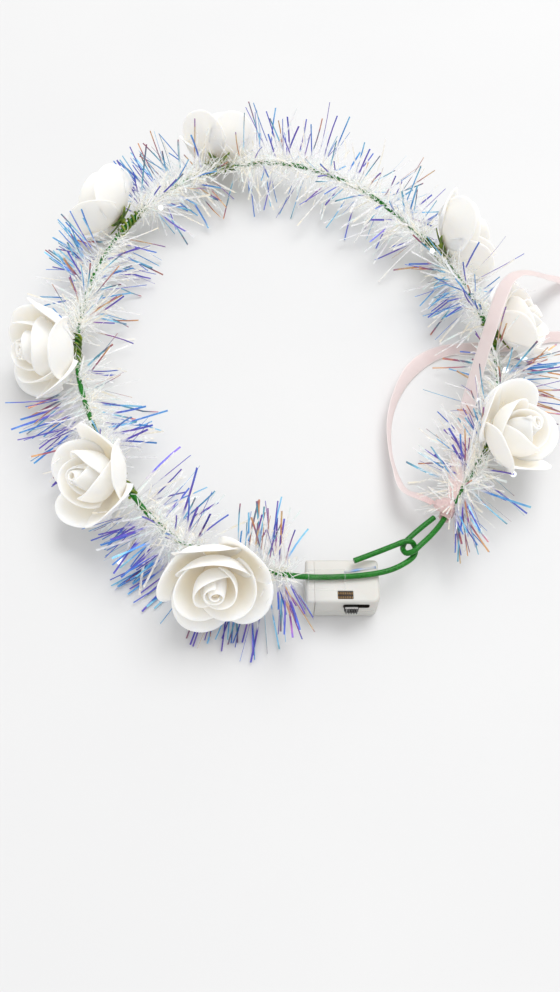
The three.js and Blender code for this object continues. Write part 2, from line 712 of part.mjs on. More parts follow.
// Ribbon: a flat strip along its route. extra widens and thickens it.
function ribbonStrip(rows, extra) {
  const route = new THREE.CatmullRomCurve3(rows.map(([x, y, z]) => new THREE.Vector3(x, y, z)));
  const rings = Array.from({ length: RIBBON_STEPS + 1 }, (_, i) => {
    const t = i / RIBBON_STEPS;
    const station = Math.min(Math.floor(t * (rows.length - 1)), rows.length - 2);
    const roll = degToRad(lerp(rows[station][3], rows[station + 1][3], t * (rows.length - 1) - station));
    const along = route.getTangent(t);
    const side = along.clone().cross(UP).normalize().applyAxisAngle(along, roll);
    const face = side.clone().cross(along).normalize();
    const corners = [[-1, -1], [1, -1], [1, 1], [-1, 1]];
    return corners.map(([a, b]) =>
      route
        .getPoint(t)
        .addScaledVector(side, a * (RIBBON_WIDTH / 2 + extra))
        .addScaledVector(face, b * (RIBBON_THICKNESS / 2 + extra)),
    );
  });
  return toSolid(skinRings(rings));
}

// Knot: a tight band of ribbon round the wire, with a soft lump on the side of the tails.
function ribbonKnot() {
  const station = LEFT_HOOK.length + RING_RADII.length;
  const middle = bandPath.getPoint(station / BAND_SPANS);
  const spanLength = middle.distanceTo(bandPath.getPoint((station + 1) / BAND_SPANS));
  const sleeve = (length, inner, outer) => {
    const reach = length / 2 / spanLength;
    const ends = [(station - reach) / BAND_SPANS, (station + reach) / BAND_SPANS];
    return bandSleeve(...ends, inner, outer, KNOT_SIDES, KNOT_STEPS);
  };
  const bore = WIRE_RADIUS + GAP;
  const { x, y, z, width, depth, height, sides, rings } = KNOT_LUMP;
  const lump = new THREE.SphereGeometry(0.5, sides, rings);
  lump.scale(width, depth, height).translate(middle.x + x, middle.y + y, middle.z + z);
  const clear = sleeve(2 * KNOT_LENGTH, GAP, bore);
  return sleeve(KNOT_LENGTH, bore, KNOT_RADIUS).add(toSolid(lump).subtract(clear));
}

// The crown, piece by piece.
const crown = new THREE.Group();
crown.position.set(RING_CENTRE.x, RING_CENTRE.y, 0);

function addPiece(name, geometry, material) {
  const mesh = new THREE.Mesh(geometry, material);
  mesh.name = name;
  crown.add(mesh);
}

addPiece("band_wire", bandWire(), greenPlastic);

const roseGeometry = roseFlower();
const roseMatrices = ROSES.map((rose) => restedRose(rose, roseGeometry));
ROSES.forEach((rose, i) => {
  addPiece(`rose_${i + 1}`, roseGeometry.clone().applyMatrix4(roseMatrices[i]), whiteFoam);
  addPiece(`calyx_${i + 1}`, toGeometry(calyx(rose, roseMatrices[i])), leafGreen);
});

LIGHTS.forEach((light, i) => addPiece(`led_${i + 1}`, toGeometry(lightBead(light, 0)), clearResin));

const knot = ribbonKnot();
addPiece("battery_box", toGeometry(batteryCase()), whitePlastic);
addPiece("battery_cap", toGeometry(batteryCap()), whitePlastic);
addPiece("contact_plate", toGeometry(contactPlate()), brass);
addPiece("switch_seat", toGeometry(switchSeat()), blackPlastic);
addPiece("switch_knob", toGeometry(switchKnob()), whitePlastic);
addPiece("clear_tape", toGeometry(clearTape()), clearFilm);
addPiece("ribbon_knot", toGeometry(knot), pinkSatin);
addPiece("ribbon_tail_a", toGeometry(ribbonStrip(RIBBON_TAIL_A, 0)), pinkSatin);
addPiece("ribbon_tail_b", toGeometry(ribbonStrip(RIBBON_TAIL_B, 0)), pinkSatin);

// Tinsel fills the band between the roses, cut back from all that lies in it.
const { x: caseX, y: caseY, width: caseWidth, depth: caseDepth, height: caseHeight } = CASE;
const tinselRooms = [
  ...roseMatrices.map((matrix) => roseRoom(matrix)),
  ...LIGHTS.map((light) => lightBead(light, TINSEL_CLEARANCE)),
  ribbonStrip(RIBBON_TAIL_A, TINSEL_CLEARANCE),
  ribbonStrip(RIBBON_TAIL_B, TINSEL_CLEARANCE),
  boxSolid(
    [caseX - CAP_WIDTH - 2 * GAP - TINSEL_CLEARANCE, caseY - CASE_ROOM.front, -OVERCUT],
    [caseX + caseWidth + TINSEL_CLEARANCE, caseY + caseDepth + CASE_ROOM.back, caseHeight + CASE_ROOM.above],
  ),
];
const tinselKeepOut = joined(tinselRooms);
const stretchEnds = [GARLAND_START_TURN, ...ROSES.map((rose) => rose.turn), GARLAND_END_TURN];
const draw = sequence(LOCK_SEED);
for (let i = 0; i + 1 < stretchEnds.length; i++) {
  const startsAtRose = i > 0;
  const endsAtRose = i + 2 < stretchEnds.length;
  const space = STEM_LENGTH / 2 + GAP;
  const from = stretchEnds[i] - (startsAtRose ? turnMargin(stretchEnds[i], space) : 0);
  const to = stretchEnds[i + 1] + (endsAtRose ? turnMargin(stretchEnds[i + 1], space) : 0);
  const stretch = tinselStretch(from, to, tinselKeepOut, draw);
  const whole = trimmedStretch(stretch, stretchEnds[i], stretchEnds[i + 1]);
  const cut = whole.subtract(tinselKeepOut).trimByPlane([0, 0, 1], GAP);
  addPiece(`tinsel_${i + 1}`, toGeometry(largestBody(cut)), iridescentFilm);
}

export default crown;
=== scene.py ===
import math

import bmesh
import bpy
import numpy as np
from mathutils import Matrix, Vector


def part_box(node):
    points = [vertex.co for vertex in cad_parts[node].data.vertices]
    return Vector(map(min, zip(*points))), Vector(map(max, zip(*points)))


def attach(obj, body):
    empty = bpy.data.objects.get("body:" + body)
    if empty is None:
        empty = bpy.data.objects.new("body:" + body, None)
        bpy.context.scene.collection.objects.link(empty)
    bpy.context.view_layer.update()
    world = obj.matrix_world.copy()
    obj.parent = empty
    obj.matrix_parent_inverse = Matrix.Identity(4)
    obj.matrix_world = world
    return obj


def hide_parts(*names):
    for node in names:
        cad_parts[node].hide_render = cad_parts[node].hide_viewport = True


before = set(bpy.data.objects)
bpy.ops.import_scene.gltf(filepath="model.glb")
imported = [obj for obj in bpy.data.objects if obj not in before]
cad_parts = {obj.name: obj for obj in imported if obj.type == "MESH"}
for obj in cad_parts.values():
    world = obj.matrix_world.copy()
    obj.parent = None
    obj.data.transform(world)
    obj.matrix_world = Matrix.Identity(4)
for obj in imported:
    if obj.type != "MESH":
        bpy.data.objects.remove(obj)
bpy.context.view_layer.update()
MM = 0.001
UP = np.array([0.0, 0.0, 1.0])
OVAL_CENTRE = np.array([-0.5, -2.5, 0.0])
ROUTE_SAMPLES = 600

# Camera at the photograph's place and angle.
CAMERA_PLACE = np.array([-0.485, -208.04, 241.32]) + OVAL_CENTRE
CAMERA_DOWN = 60
CAMERA_LENS = 27.07
SENSOR_WIDTH = 36
CLIP_START = 0.01

# Band wire. The oval's radii run clockwise from its near end, one for every OVAL_STEP degrees.
WIRE_RADIUS = 0.95
WIRE_SIDES = 18
HOOK_STEP = 0.5
RING_STEP = 2.0
BAND_HEIGHT = 11.5
CASE_CROSSING_HEIGHT = 13.8
OVAL_FIRST_TURN = -90
OVAL_STEP = -20
OVAL_RADII = [
    106.6, 99.8, 89.6, 83.2, 82.3, 83.9, 89.4, 98.5, 107.5, 108.6, 98.4, 87.5, 82.8, 83.3, 86.8, 92.0, 98.0,
]
LEFT_HOOK = [
    (24.2, -102.5, 15.3), (33.0, -99.0, 15.5), (38.5, -96.8, 15.8), (41.6, -95.6, 15.9), (43.9, -95.5, 15.4),
    (45.1, -96.3, 13.9), (45.5, -97.6, 12.8), (44.6, -99.7, 12.7), (40.4, -103.0, 13.2), (34.1, -105.8, 13.8),
    (19.4, -107.6, 13.8),
]
RIGHT_HOOK = [
    (57.9, -83.0, 12.2), (54.7, -88.0, 13.4), (50.9, -92.7, 14.8), (47.1, -96.6, 15.8), (44.1, -99.2, 15.7),
    (42.0, -99.5, 15.0), (41.1, -97.6, 13.8), (41.8, -95.0, 13.0), (44.5, -92.1, 12.8), (48.6, -88.4, 12.6),
    (53.2, -84.5, 12.3),
]

# Roses. turn: place on the oval. heading: way the flower faces. tilt: least rise of its axis, which grows
# until its lowest petal rests on the table. spin: about its stem. size: share of full size. open: 1 when
# full blown, 0 or less for a tight bud. squash: share of its height that is left where it is pressed flat.
ROSE_COLUMNS = ("turn", "heading", "tilt", "spin", "size", "open", "squash")
ROSE_ROWS = [
    (-102.5, -87, 31, 26, 0.95, 1.0, 0.86),
    (-130, -149, 45, 62, 0.92, -0.25, 1.0),
    (-175, -150, 28, 111, 1.03, 0.3, 1.0),
    (-223.5, -205, 10, 20, 0.97, 0.5, 1.0),
    (-254.5, -268, 24, 55, 0.95, 0.8, 1.0),
    (-324, -345, 10, 30, 0.97, 0.7, 1.0),
    (-361, -350, 40, 64, 0.86, 0.7, 1.0),
    (-394, -376, 54, 8, 0.92, -0.1, 1.0),
]
ROSES = [dict(zip(ROSE_COLUMNS, row)) for row in ROSE_ROWS]
ROSE_STANDOFF = 4.9
STEEPEST_TILT = 75
TILT_TRIES = 20
# Petal rows, outermost first. span: degrees that one petal covers. The four pairs are its profile from foot
# to rim (radius, height). wrap: how far one side lies over the next petal. lip: outward curl of the rim.
# close: share of its radius that the rim draws in on a rose that is not open.
PETAL_ROWS = [
    {"count": 5, "span": 106, "turn": 0, "wrap": 2.2, "round": 0.52, "lip": 2.0, "close": 0.05,
     "profile": [(2.2, 0), (11, -0.2), (18.0, 4.5), (18.0, 16.6)]},
    {"count": 3, "span": 182, "turn": 55, "wrap": 2.2, "round": 0.48, "lip": 1.1, "close": 0.3,
     "profile": [(2.2, 2), (9, 2.5), (14.0, 9), (12.4, 18.6)]},
    {"count": 2, "span": 236, "turn": 120, "wrap": 2.0, "round": 0.42, "lip": 0.8, "close": 0.5,
     "profile": [(2.2, 5), (6.0, 7), (8.6, 12), (6.2, 19.0)]},
    {"count": 1, "span": 620, "turn": 10, "wrap": -1.3, "round": 0.04, "lip": 0.2, "close": 0.2,
     "profile": [(3.4, 8), (3.4, 12), (3.2, 15), (2.2, 18.4)]},
]
ROSE_HEART = [(2.6, -0.4), (4.6, 1.5), (4.4, 6.0), (2.6, 9.5), (1.7, 12.0), (1.5, 16.4), (0.5, 17.2)]
PETAL_THICKNESS = 0.62
PETAL_UP = 17
PETAL_ACROSS = {"least": 21, "degrees": 7}
# How unlike petals are. sway and lift: of the rim, out and up. turn: degrees. Waves: size, and beat across.
PETAL_STRAY = {"sway": 0.7, "lift": 0.9, "phase": 6, "turn": 5}
PETAL_WAVES = {"out": (0.65, 2.4), "up": (0.4, 2.1)}
PETAL_CROWDING = 1.25
PETAL_CORNER = 2.6
LIP = {"start": 0.7, "side_loss": 0.35, "droop": 0.85}

# Calyx. Its stalk is (radius, height) pairs.
SEPAL_COUNT = 5
SEPAL_MESH = (10, 7)
SEPAL = {"half": 2.2, "taper": 0.65, "foot": 1.6, "length": 7.2, "level": -1.45, "rise": 0.95, "keel": 0.25,
         "thickness": 0.5}
SEPAL_NECK = {"share": 0.55, "end": 0.3, "tip": 0.03}
STALK = [(1.5, -3.2), (1.55, -2.3), (2.8, -1.35), (2.7, -0.75)]
STALK_SIDES = 16
BARE_STEM = 7.5

# Strands wound round a line. coil: radius of the winding. pitch: length of one turn. radius: of the strand.
STEM = {"coil": 1.5, "pitch": 5.2, "radius": 0.55, "sides": 8, "step": 0.3}
LEAD = {"coil": 0.17, "pitch": 1.6, "radius": 0.13, "sides": 6, "points": 60}
LEAD_ENDS = {"from_bead": 1.5, "off_band": 1.9}
STRING = {"coil": 2.3, "pitch": 17.0, "radius": 0.14, "sides": 6, "step": 0.6}

# Ribbon routes. Columns: x, y, z of the middle line, and roll, 0 where the face lies flat.
RIBBON_WIDTH = 6.0
RIBBON_THICKNESS = 0.22
RIBBON_STEPS = 30
RIBBON_COLUMNS = 13
RIBBON_TAIL_A = [
    (53.2, -79.6, 13.6, 20), (50.4, -76.4, 11.8, 25), (44.8, -70.9, 8.5, 40), (42.7, -61.6, 5.5, 60),
    (41.7, -51.7, 3.8, 66), (41.9, -41.0, 3.3, 66), (43.5, -31.8, 3.3, 66), (46.4, -23.3, 3.2, 62),
    (50.3, -15.3, 2.8, 50), (55.1, -8.4, 1.9, 30), (62.1, -1.9, 1.0, 10), (70.1, 1.8, 0.6, 0),
    (79.5, 2.9, 0.55, 0), (88.0, 3.4, 0.55, 0), (96.6, 4.5, 0.55, 0), (105.4, 6.8, 0.55, 0),
    (113.4, 9.0, 0.55, 0), (120.3, 9.3, 0.55, 0),
]
RIBBON_TAIL_B = [
    (59.6, -78.3, 15.2, 0), (60.6, -74.6, 15.6, 0), (62.5, -67.3, 16.0, -5), (65.1, -57.4, 16.0, -14),
    (68.0, -46.3, 16.0, -24), (69.8, -38.5, 19.0, -32), (72.1, -31.3, 23.0, -38), (73.8, -25.9, 28.0, -40),
    (75.7, -20.6, 33.0, -40), (78.1, -13.9, 37.2, -38), (81.1, -6.2, 39.6, -35), (83.9, -0.6, 40.6, -32),
    (87.8, 4.2, 39.8, -26), (93.1, 9.9, 35.5, -12), (100.5, 18.2, 27.5, 0), (110.8, 28.6, 16.0, 5),
    (119.6, 36.8, 6.5, 5), (127.6, 41.2, 0.7, 0),
]
# Where a tail leaves the knot, it is drawn in to a share of its width and pleated over this length.
PINCH = {"length": 11.0, "share": 0.42, "ease": 0.8, "pleat": 0.36, "pleats": 2.5}
RIBBON_CURL = {"height": 0.22, "sink": 0.1}
KNOT_LUMP = {"offset": (-1.2, 2.2, 2.4), "half": (3.4, 2.6, 2.2), "rows": 19, "columns": 40, "pole": 0.06}
KNOT_AHEAD = 0.2
# Loops of the knot: offset along the band, lean and radius.
KNOT_LOOPS = [(-1.5, 0.5, 1.75), (0.2, -0.7, 2.05), (1.5, 0.35, 1.85)]
KNOT_LOOP = {"half": 1.25, "rows": 33, "columns": 9, "ripple": (0.14, 0.1)}
# Creases of the lump: depth, and beats round it and from end to end.
KNOT_CREASES = [(0.10, 4, 5), (0.06, -2, 9)]

# Light beads: place on the oval, and the bead.
LIGHTS = [
    {"turn": -238, "bead": (-54.0, 71.5, 16)}, {"turn": -315, "bead": (64.5, 41.7, 18)},
    {"turn": -381, "bead": (73.2, -35.9, 16)}, {"turn": -400, "bead": (83.8, -66.5, 12)},
    {"turn": -119, "bead": (-55.5, -99.4, 8)}, {"turn": -367, "bead": (95.8, -14.5, 14)},
    {"turn": -374, "bead": (87.1, -20.9, 15)}, {"turn": -404, "bead": (66.6, -62.3, 12.6)},
]
BEAD = {"radius": 1.1, "tip": 0.02, "steps": 12, "shoulder": 54}
BEAD_NECK = [(0.5, 1.25), (0.4, 1.7)]

# Battery case. A groove runs round it at the height of its seam.
CASE = {"low": (11.0, -116.2), "size": (21.6, 15.6), "height": 12.5, "corners": (0.5, 2.6, 1.6, 0.5)}
CASE_EDGE = {"top": 1.0, "bottom": 0.7}
CASE_SEAM = 4.6
GROOVE = {"half": 0.25, "floor": 0.12, "depth": 0.2}
CAP_WIDTH = 2.7
CAP_SEAM = 0.07
CAP_CORNERS = (0.9, 0.3, 0.3, 0.9)
GAP = 0.3
CORNER_STEPS = 6
EDGE_STEPS = 5
LEAST_RADIUS = 0.05
SMALL_EDGE = 0.05
CUT_PAST = 1
CASE_SHARPEST = 35
WINDOW = {"low": (18.5, -115.0), "size": (5.2, 3.0), "recess": 1.6, "corner": 0.3}
BOARD = {"below": 0.6, "inset": 0.04, "lift": 0.02}
PADS = {"columns": 7, "rows": 2, "margin": (0.18, 0.34), "corner": 0.08, "height": 0.22, "sink": 0.04}
SLOT = {"x": 20.4, "z": 7.6, "width": 8.8, "height": 3.2, "recess": 3.2, "corner": 0.8}
LINING = {"inset": 0.04, "corner": 0.76, "front": 0.12, "back": 0.05}
LINING_ROOM = {"inset": 0.2, "corner": 0.6, "back": 0.3}
# Slide knob. Steps of its body, front first: inset, and share of its reach. Painted highlight of each ridge
# on its front.
KNOB_STEPS = [(0.6, 1), (0.35, 0.96), (0.12, 0.87), (0, 0.75), (0, 0.66), (0, 0)]
# Its front, corner, and the strip at the front of its top that gets a painted highlight.
KNOB = {"front": 0.35, "corner": 0.5, "highlight_from": 0.7, "highlight_edge": 0.05}
KNOB_SHARPEST = 40
KNOB_RIDGE_HIGHLIGHTS = (0.25, 0.1, 0.05, 0.04, 0.12)
RIDGE = {"half": 0.28, "depth": 0.6, "margin": 0.7, "foot": 0.25, "top": 0.02, "sides": 10}
# Clear film over the wire on the case's top. span: places on the band that it lies along.
TAPE = {"from": 8.8, "to": 21.2, "front": 4.2, "back": 3.2, "span": (9.5, 12), "lift": 0.35, "fold": 1.55,
        "ripple": 0.06, "beat": (1.3, 1.7), "thickness": 0.12, "mesh": (25, 31), "step": 0.2}

# Tinsel between the roses, from the case round to the knot.
GARLAND_START_TURN = -88.5
GARLAND_END_TURN = -408
STRIP_THICKNESS = 0.06
STRIP_STEPS = 5
# Turns between which the wire shows: strips keep out of the parting over it, and fuzz to its inner side.
BARE_WIRE = [(-117, -130), (-143, -162), (-202, -223)]
PARTING = (30, 150)
# Layers of tinsel. per_mm: strips to a millimetre of band. low, high: angles about the band, 0 outward and
# 90 up. comb: how far neighbours lean along the band together. stray: how far each leans alone. curl: bend,
# as a share of its length. tint: middle hue, and spread: how far hues stray. patchy: share of bare patches.
# scatter: of the feet. lean: along the band. drop: 1 where the strips sink to the table and lie on it.
USUALLY_ZERO = ("comb", "lean", "drop", "patchy", "scatter")
ROW_DEFAULTS = {"width": 0.58, "curl": 0.1} | dict.fromkeys(USUALLY_ZERO, 0.0)
LAYERS = [
    {"film": "iridescent", "per_mm": 1.1, "length": (15, 27), "width": 0.66, "low": -40, "high": 220,
     "comb": 2.2, "stray": 0.22, "curl": 0.14, "tint": 0.2, "spread": 0.35},
    {"film": "white", "per_mm": 2.0, "length": (8, 24), "width": 0.72, "low": -40, "high": 220,
     "comb": 2.2, "stray": 0.4, "curl": 0.22, "tint": 0.3, "spread": 0.6},
    {"film": "white", "per_mm": 13.0, "length": (3, 9), "width": 0.34, "low": -60, "high": 240,
     "stray": 1.5, "curl": 0.5, "tint": 0.5, "spread": 1.0, "patchy": 0.45, "scatter": 3.0},
]
# Bunches of like strips. stretch: the stretch of tinsel that each belongs to. start, end: turns of the oval.
BUNCH_COLUMNS = (
    "stretch", "film", "start", "end", "count", "length", "low", "high", "lean", "stray", "tint", "spread",
)
LYING = {"curl": 0.02, "drop": 1.0}
SILVER = {"width": 0.9, "curl": 0.12}
BUNCH_ROWS = [
    ((1, "iridescent", -93, -104, 24, (22, 28), 0, 0, -0.2, 0.25, 0.5, 0.6), LYING),
    ((1, "iridescent", -88.7, -92, 20, (14, 27), -12, 25, -0.75, 0.45, 0.45, 0.4), {}),
    ((1, "iridescent", -88.7, -98, 22, (17, 25), 100, 165, 0.1, 0.16, 0.3, 0.3), {}),
    ((2, "iridescent", -110, -122, 26, (17, 24), -30, 10, 0.2, 0.2, 0.15, 0.2), {}),
    ((3, "iridescent", -147, -160, 16, (20, 29), -25, 10, -0.1, 0.12, 0.14, 0.22), {}),
    ((4, "iridescent", -197, -210, 24, (18, 26), 15, 75, 0.35, 0.2, 0.38, 0.15), {}),
    ((5, "iridescent", -231, -244, 26, (18, 26), 25, 85, -0.15, 0.25, 0.2, 0.25), {}),
    ((7, "iridescent", -333, -348, 28, (15, 23), 150, 205, 0.3, 0.2, 0.32, 0.22), {}),
    ((8, "iridescent", -370, -382, 20, (20, 28), -10, 35, 0.1, 0.2, 0.1, 0.3), {}),
    ((9, "iridescent", -390, -407, 24, (16, 26), 105, 152, 0.0, 0.5, 0.2, 0.5), {}),
    ((9, "white", -390, -407, 150, (12, 24), 105, 152, 0.0, 0.9, 0.3, 0.6), {"width": 0.38, "curl": 0.3}),
    ((9, "iridescent", -405, -423, 30, (14, 25), -15, 40, 1.1, 1.1, 0.3, 0.4), {}),
    ((9, "white", -405, -423, 60, (9, 20), -15, 190, 0.9, 1.1, 0.3, 0.6), {"width": 0.45}),
    ((5, "white", -247, -261, 110, (5, 13), 55, 190, 0.0, 0.9, 0.4, 0.6), {"width": 0.45, "curl": 0.3}),
    ((6, "iridescent", -258, -272, 15, (22, 31), 40, 100, -0.2, 0.4, 0.22, 0.3), {}),
    ((5, "white", -231, -250, 16, (17, 27), 140, 205, 0.0, 0.5, 0.3, 0.5), SILVER),
    ((6, "white", -260, -318, 44, (17, 29), 140, 205, 0.0, 0.5, 0.3, 0.5), SILVER),
    ((2, "iridescent", -105.5, -114, 20, (19, 26), 0, 0, 0.35, 0.25, 0.15, 0.3), LYING),
]
BUNCHES = [dict(zip(BUNCH_COLUMNS, row)) | more for row, more in BUNCH_ROWS]
# Loose strip that lies on the case behind the wire: its two ends, its hue, and its place along a strip.
LOOSE_STRIP = {"from": (21.0, -105.4), "to": (31.7, -103.6), "width": 0.9, "lift": 0.1, "arch": 0.25,
               "tint": 0.23, "along": 0.37, "along_more": 0.06, "mesh": (13, 4)}
ROOT_STEP = 1.0
SEEDS = {"first": 11, "stretch": 100, "row": 20, "part": 5000, "bunch": 1000}
# How strips grow, in metres. Scales are those of the noise that combs, tints and bares them.
COMB_SCALE = 42.0
TINT_SCALE = 30.0
BARE_SCALE = 90.0
TINT_DRIFT = 1.5
RAY_START = 0.002
PETAL_GAP = 0.0008
TIP_HEIGHT = 0.001
LYING_HEIGHT = 0.0008
LYING_FROM = 0.45
LEAST_HEIGHT = 0.0004
SHORTEST_KEPT = 0.7
WIDTH_RANGE = (0.75, 1.2)

# Table, lamps and room, in metres.
TABLE_HALF = 15.0
TABLE_TOP = -0.0003
LAMPS = [
    {"name": "window_light", "place": (0.75, 1.1, 2.4), "size": 1.92, "power": 40.0},
    {"name": "fill_light", "place": (0.3, -0.5, 1.2), "size": 1.4, "power": 1.5},
]
ROOM_BRIGHTNESS = 0.80

# Shares of a wall's thickness from its border inward, and the widest angle between faces shaded as one.
RIM_SHARES = np.array([0.45, 0.85, 1.0])
STRAND_SHARPEST = 50
JOINED_SHARPEST = 60
# Noise lies mostly between these two values.
NOISE_RANGE = (0.3, 0.7)


class Route:
    """A smooth line through points. A place on it counts the points from 0."""

    def __init__(self, points):
        inner = np.array(points, float)
        self.last = len(inner) - 1
        self.points = np.vstack([2 * inner[0] - inner[1], inner, 2 * inner[-1] - inner[-2]])

    def at(self, places):
        places = np.asarray(places, float)
        span = np.clip(places.astype(int), 0, self.last - 1)
        t = (places - span)[..., None]
        p0, p1, p2, p3 = (self.points[span + k] for k in range(4))
        pairs = ((p0, p1), (p1, p2), (p2, p3))
        d0, d1, d2 = (np.sqrt(np.linalg.norm(b - a, axis=-1, keepdims=True)) for a, b in pairs)
        start = ((p1 - p0) / d0 - (p2 - p0) / (d0 + d1) + (p2 - p1) / d1) * d1
        end = ((p2 - p1) / d1 - (p3 - p1) / (d1 + d2) + (p3 - p2) / d2) * d1
        bend = 3 * (p2 - p1) - 2 * start - end
        return p1 + start * t + bend * t**2 + (2 * (p1 - p2) + start + end) * t**3

    def evenly(self, first, last, step):
        points = self.at(np.linspace(first, last, ROUTE_SAMPLES))
        run = lengths(points)
        marks = np.linspace(0, run[-1], max(2, round(run[-1] / step)) + 1)
        return np.stack([np.interp(marks, run, points[:, k]) for k in range(3)], axis=1)


def lengths(points):
    """How far along the line each point is."""
    return np.concatenate([[0], np.cumsum(np.linalg.norm(np.diff(points, axis=0), axis=1))])


def unit(vectors):
    return vectors / np.linalg.norm(vectors, axis=-1, keepdims=True)


def directions(points):
    return unit(np.gradient(points, axis=0))


def full_turn(count):
    return np.linspace(0, 2 * np.pi, count, endpoint=False)


def oval_point(station):
    turn = math.radians(OVAL_FIRST_TURN + station * OVAL_STEP)
    radius = OVAL_RADII[station]
    height = BAND_HEIGHT if station else CASE_CROSSING_HEIGHT
    return (radius * math.cos(turn), radius * math.sin(turn), height)


oval = [oval_point(station) for station in range(len(OVAL_RADII))]
band = Route(np.array(LEFT_HOOK + oval + RIGHT_HOOK) + OVAL_CENTRE)
oval_first = len(LEFT_HOOK)
oval_end = oval_first + len(OVAL_RADII)


def band_place(turn):
    return oval_first + (turn - OVAL_FIRST_TURN) / OVAL_STEP


def band_stretch(start, end, step):
    return band.evenly(band_place(start), band_place(end), step)


def turn_margin(turn, distance):
    return math.degrees(distance / np.linalg.norm(band.at(band_place(turn)) - OVAL_CENTRE))


class Value:
    """A socket of a node tree. Sums and products of values add their maths nodes."""

    def __init__(self, maker, node, key=0):
        self.maker = maker
        self.node = node
        self.socket = node.outputs[key]

    def also(self, key):
        return Value(self.maker, self.node, key)


def operator(operation, swapped):
    def apply(value, other):
        pair = (other, value) if swapped else (value, other)
        return value.maker.maths(operation, *pair)

    return apply


for word, operation in {"add": "ADD", "sub": "SUBTRACT", "mul": "MULTIPLY", "truediv": "DIVIDE"}.items():
    setattr(Value, f"__{word}__", operator(operation, False))
    setattr(Value, f"__r{word}__", operator(operation, True))


class Maker:
    """Adds nodes to one tree."""

    def __init__(self, tree):
        self.tree = tree
        tree.nodes.clear()

    def feed(self, socket, value):
        if isinstance(value, Value):
            self.tree.links.new(value.socket, socket)
        else:
            socket.default_value = value

    def add(self, kind, settings=None, sockets=None, out=0):
        node = self.tree.nodes.new(kind)
        for name, value in (settings or {}).items():
            if name == "stops":
                self.set_stops(node.color_ramp, value)
            else:
                setattr(node, name, value)
        for key, value in (sockets or {}).items():
            self.feed(node.inputs[key], value)
        return Value(self, node, out) if len(node.outputs) else node

    def set_stops(self, ramp, stops):
        while len(ramp.elements) < len(stops):
            ramp.elements.new(1.0)
        for element, (position, colour) in zip(ramp.elements, stops):
            element.position = position
            element.color = (*colour, 1.0)

    def maths(self, operation, *values):
        return self.add("ShaderNodeMath", {"operation": operation}, dict(enumerate(values)))

    def vector(self, operation, *values):
        return self.add("ShaderNodeVectorMath", {"operation": operation}, dict(enumerate(values)))

    def scaled(self, vector, amount):
        return self.add("ShaderNodeVectorMath", {"operation": "SCALE"}, {0: vector, "Scale": amount})

    def attribute(self, name):
        return self.add("ShaderNodeAttribute", {"attribute_name": name}, out="Fac")

    def noise(self, scale, detail=2.0, vector=None):
        sockets = {"Scale": scale, "Detail": detail}
        sockets["Vector"] = vector or self.add("ShaderNodeTexCoord", out="Object")
        return self.add("ShaderNodeTexNoise", None, sockets)

    def ramp(self, value, stops):
        return self.add("ShaderNodeValToRGB", {"stops": stops}, {0: value})

    def mix(self, share, first, second):
        return self.add("ShaderNodeMix", {"data_type": "RGBA"}, {0: share, 6: first, 7: second}, out=2)

    def fitted(self, value, low, high, to_low=0.0, to_high=1.0):
        sockets = {0: value, 1: low, 2: high, 3: to_low, 4: to_high}
        return self.add("ShaderNodeMapRange", {"interpolation_type": "SMOOTHSTEP"}, sockets)

    def between(self, noise, low, high):
        return self.fitted(noise, *NOISE_RANGE, low, high)

    def bump(self, height, distance, strength):
        sockets = {"Height": height, "Distance": distance, "Strength": strength}
        return self.add("ShaderNodeBump", None, sockets)


def finish(name, constants, look, through=None):
    """A material: constants are set on the shader, and look gives what changes over the surface. A film also
    lets light of the colour through pass, by the share that look names."""
    material = bpy.data.materials.new(name)
    material.use_nodes = True
    maker = Maker(material.node_tree)
    shader = maker.add("ShaderNodeBsdfPrincipled", None, constants)
    surface = shader
    for socket, value in look(maker).items():
        if socket == "Through":
            glow = maker.add("ShaderNodeBsdfTranslucent", None, {"Color": through})
            surface = maker.add("ShaderNodeMixShader", None, {0: value, 1: shader, 2: glow})
        else:
            maker.feed(shader.node.inputs[socket], value)
    maker.add("ShaderNodeOutputMaterial", None, {"Surface": surface})
    return material


# Finishes.
def speckled(scale, detail, dark, pale, rough):
    """A look of one noise, from a dark to a pale colour and over a range of roughness."""

    def look(maker):
        noise = maker.noise(scale, detail)
        return {
            "Base Color": maker.ramp(noise, list(zip(NOISE_RANGE, (dark, pale)))),
            "Roughness": maker.between(noise, *rough),
        }

    return look


WIRE_COLOURS = [(0.3, (0.003, 0.055, 0.004)), (0.55, (0.010, 0.175, 0.011)), (0.75, (0.05, 0.36, 0.045))]


def wire_look(maker):
    speckle = maker.noise(2600, 3)
    drift = maker.noise(120)
    return {
        "Base Color": maker.ramp(0.75 * speckle + 0.25 * drift, WIRE_COLOURS),
        "Roughness": maker.between(speckle, 0.26, 0.4),
        "Normal": maker.bump(speckle, 0.00004, 0.5),
    }


# Foam colour by rise from the petal's foot to its rim: a cream tint with painted shade, darker towards the
# foot deep in the rose. The inside and outside faces of a petal get their own ramps, so their painted shade
# differs.
FOAM_INSIDE_TINT_AND_SHADE = [
    (0.1, (0.69, 0.61, 0.48)), (0.5, (0.77, 0.71, 0.605)),
    (0.84, (0.84, 0.815, 0.76)), (0.96, (0.89, 0.88, 0.85)),
]
FOAM_OUTSIDE_TINT_AND_SHADE = [(0.1, (0.74, 0.705, 0.63)), (0.4, (0.795, 0.775, 0.73)), (0.9, (0.825, 0.813, 0.78))]


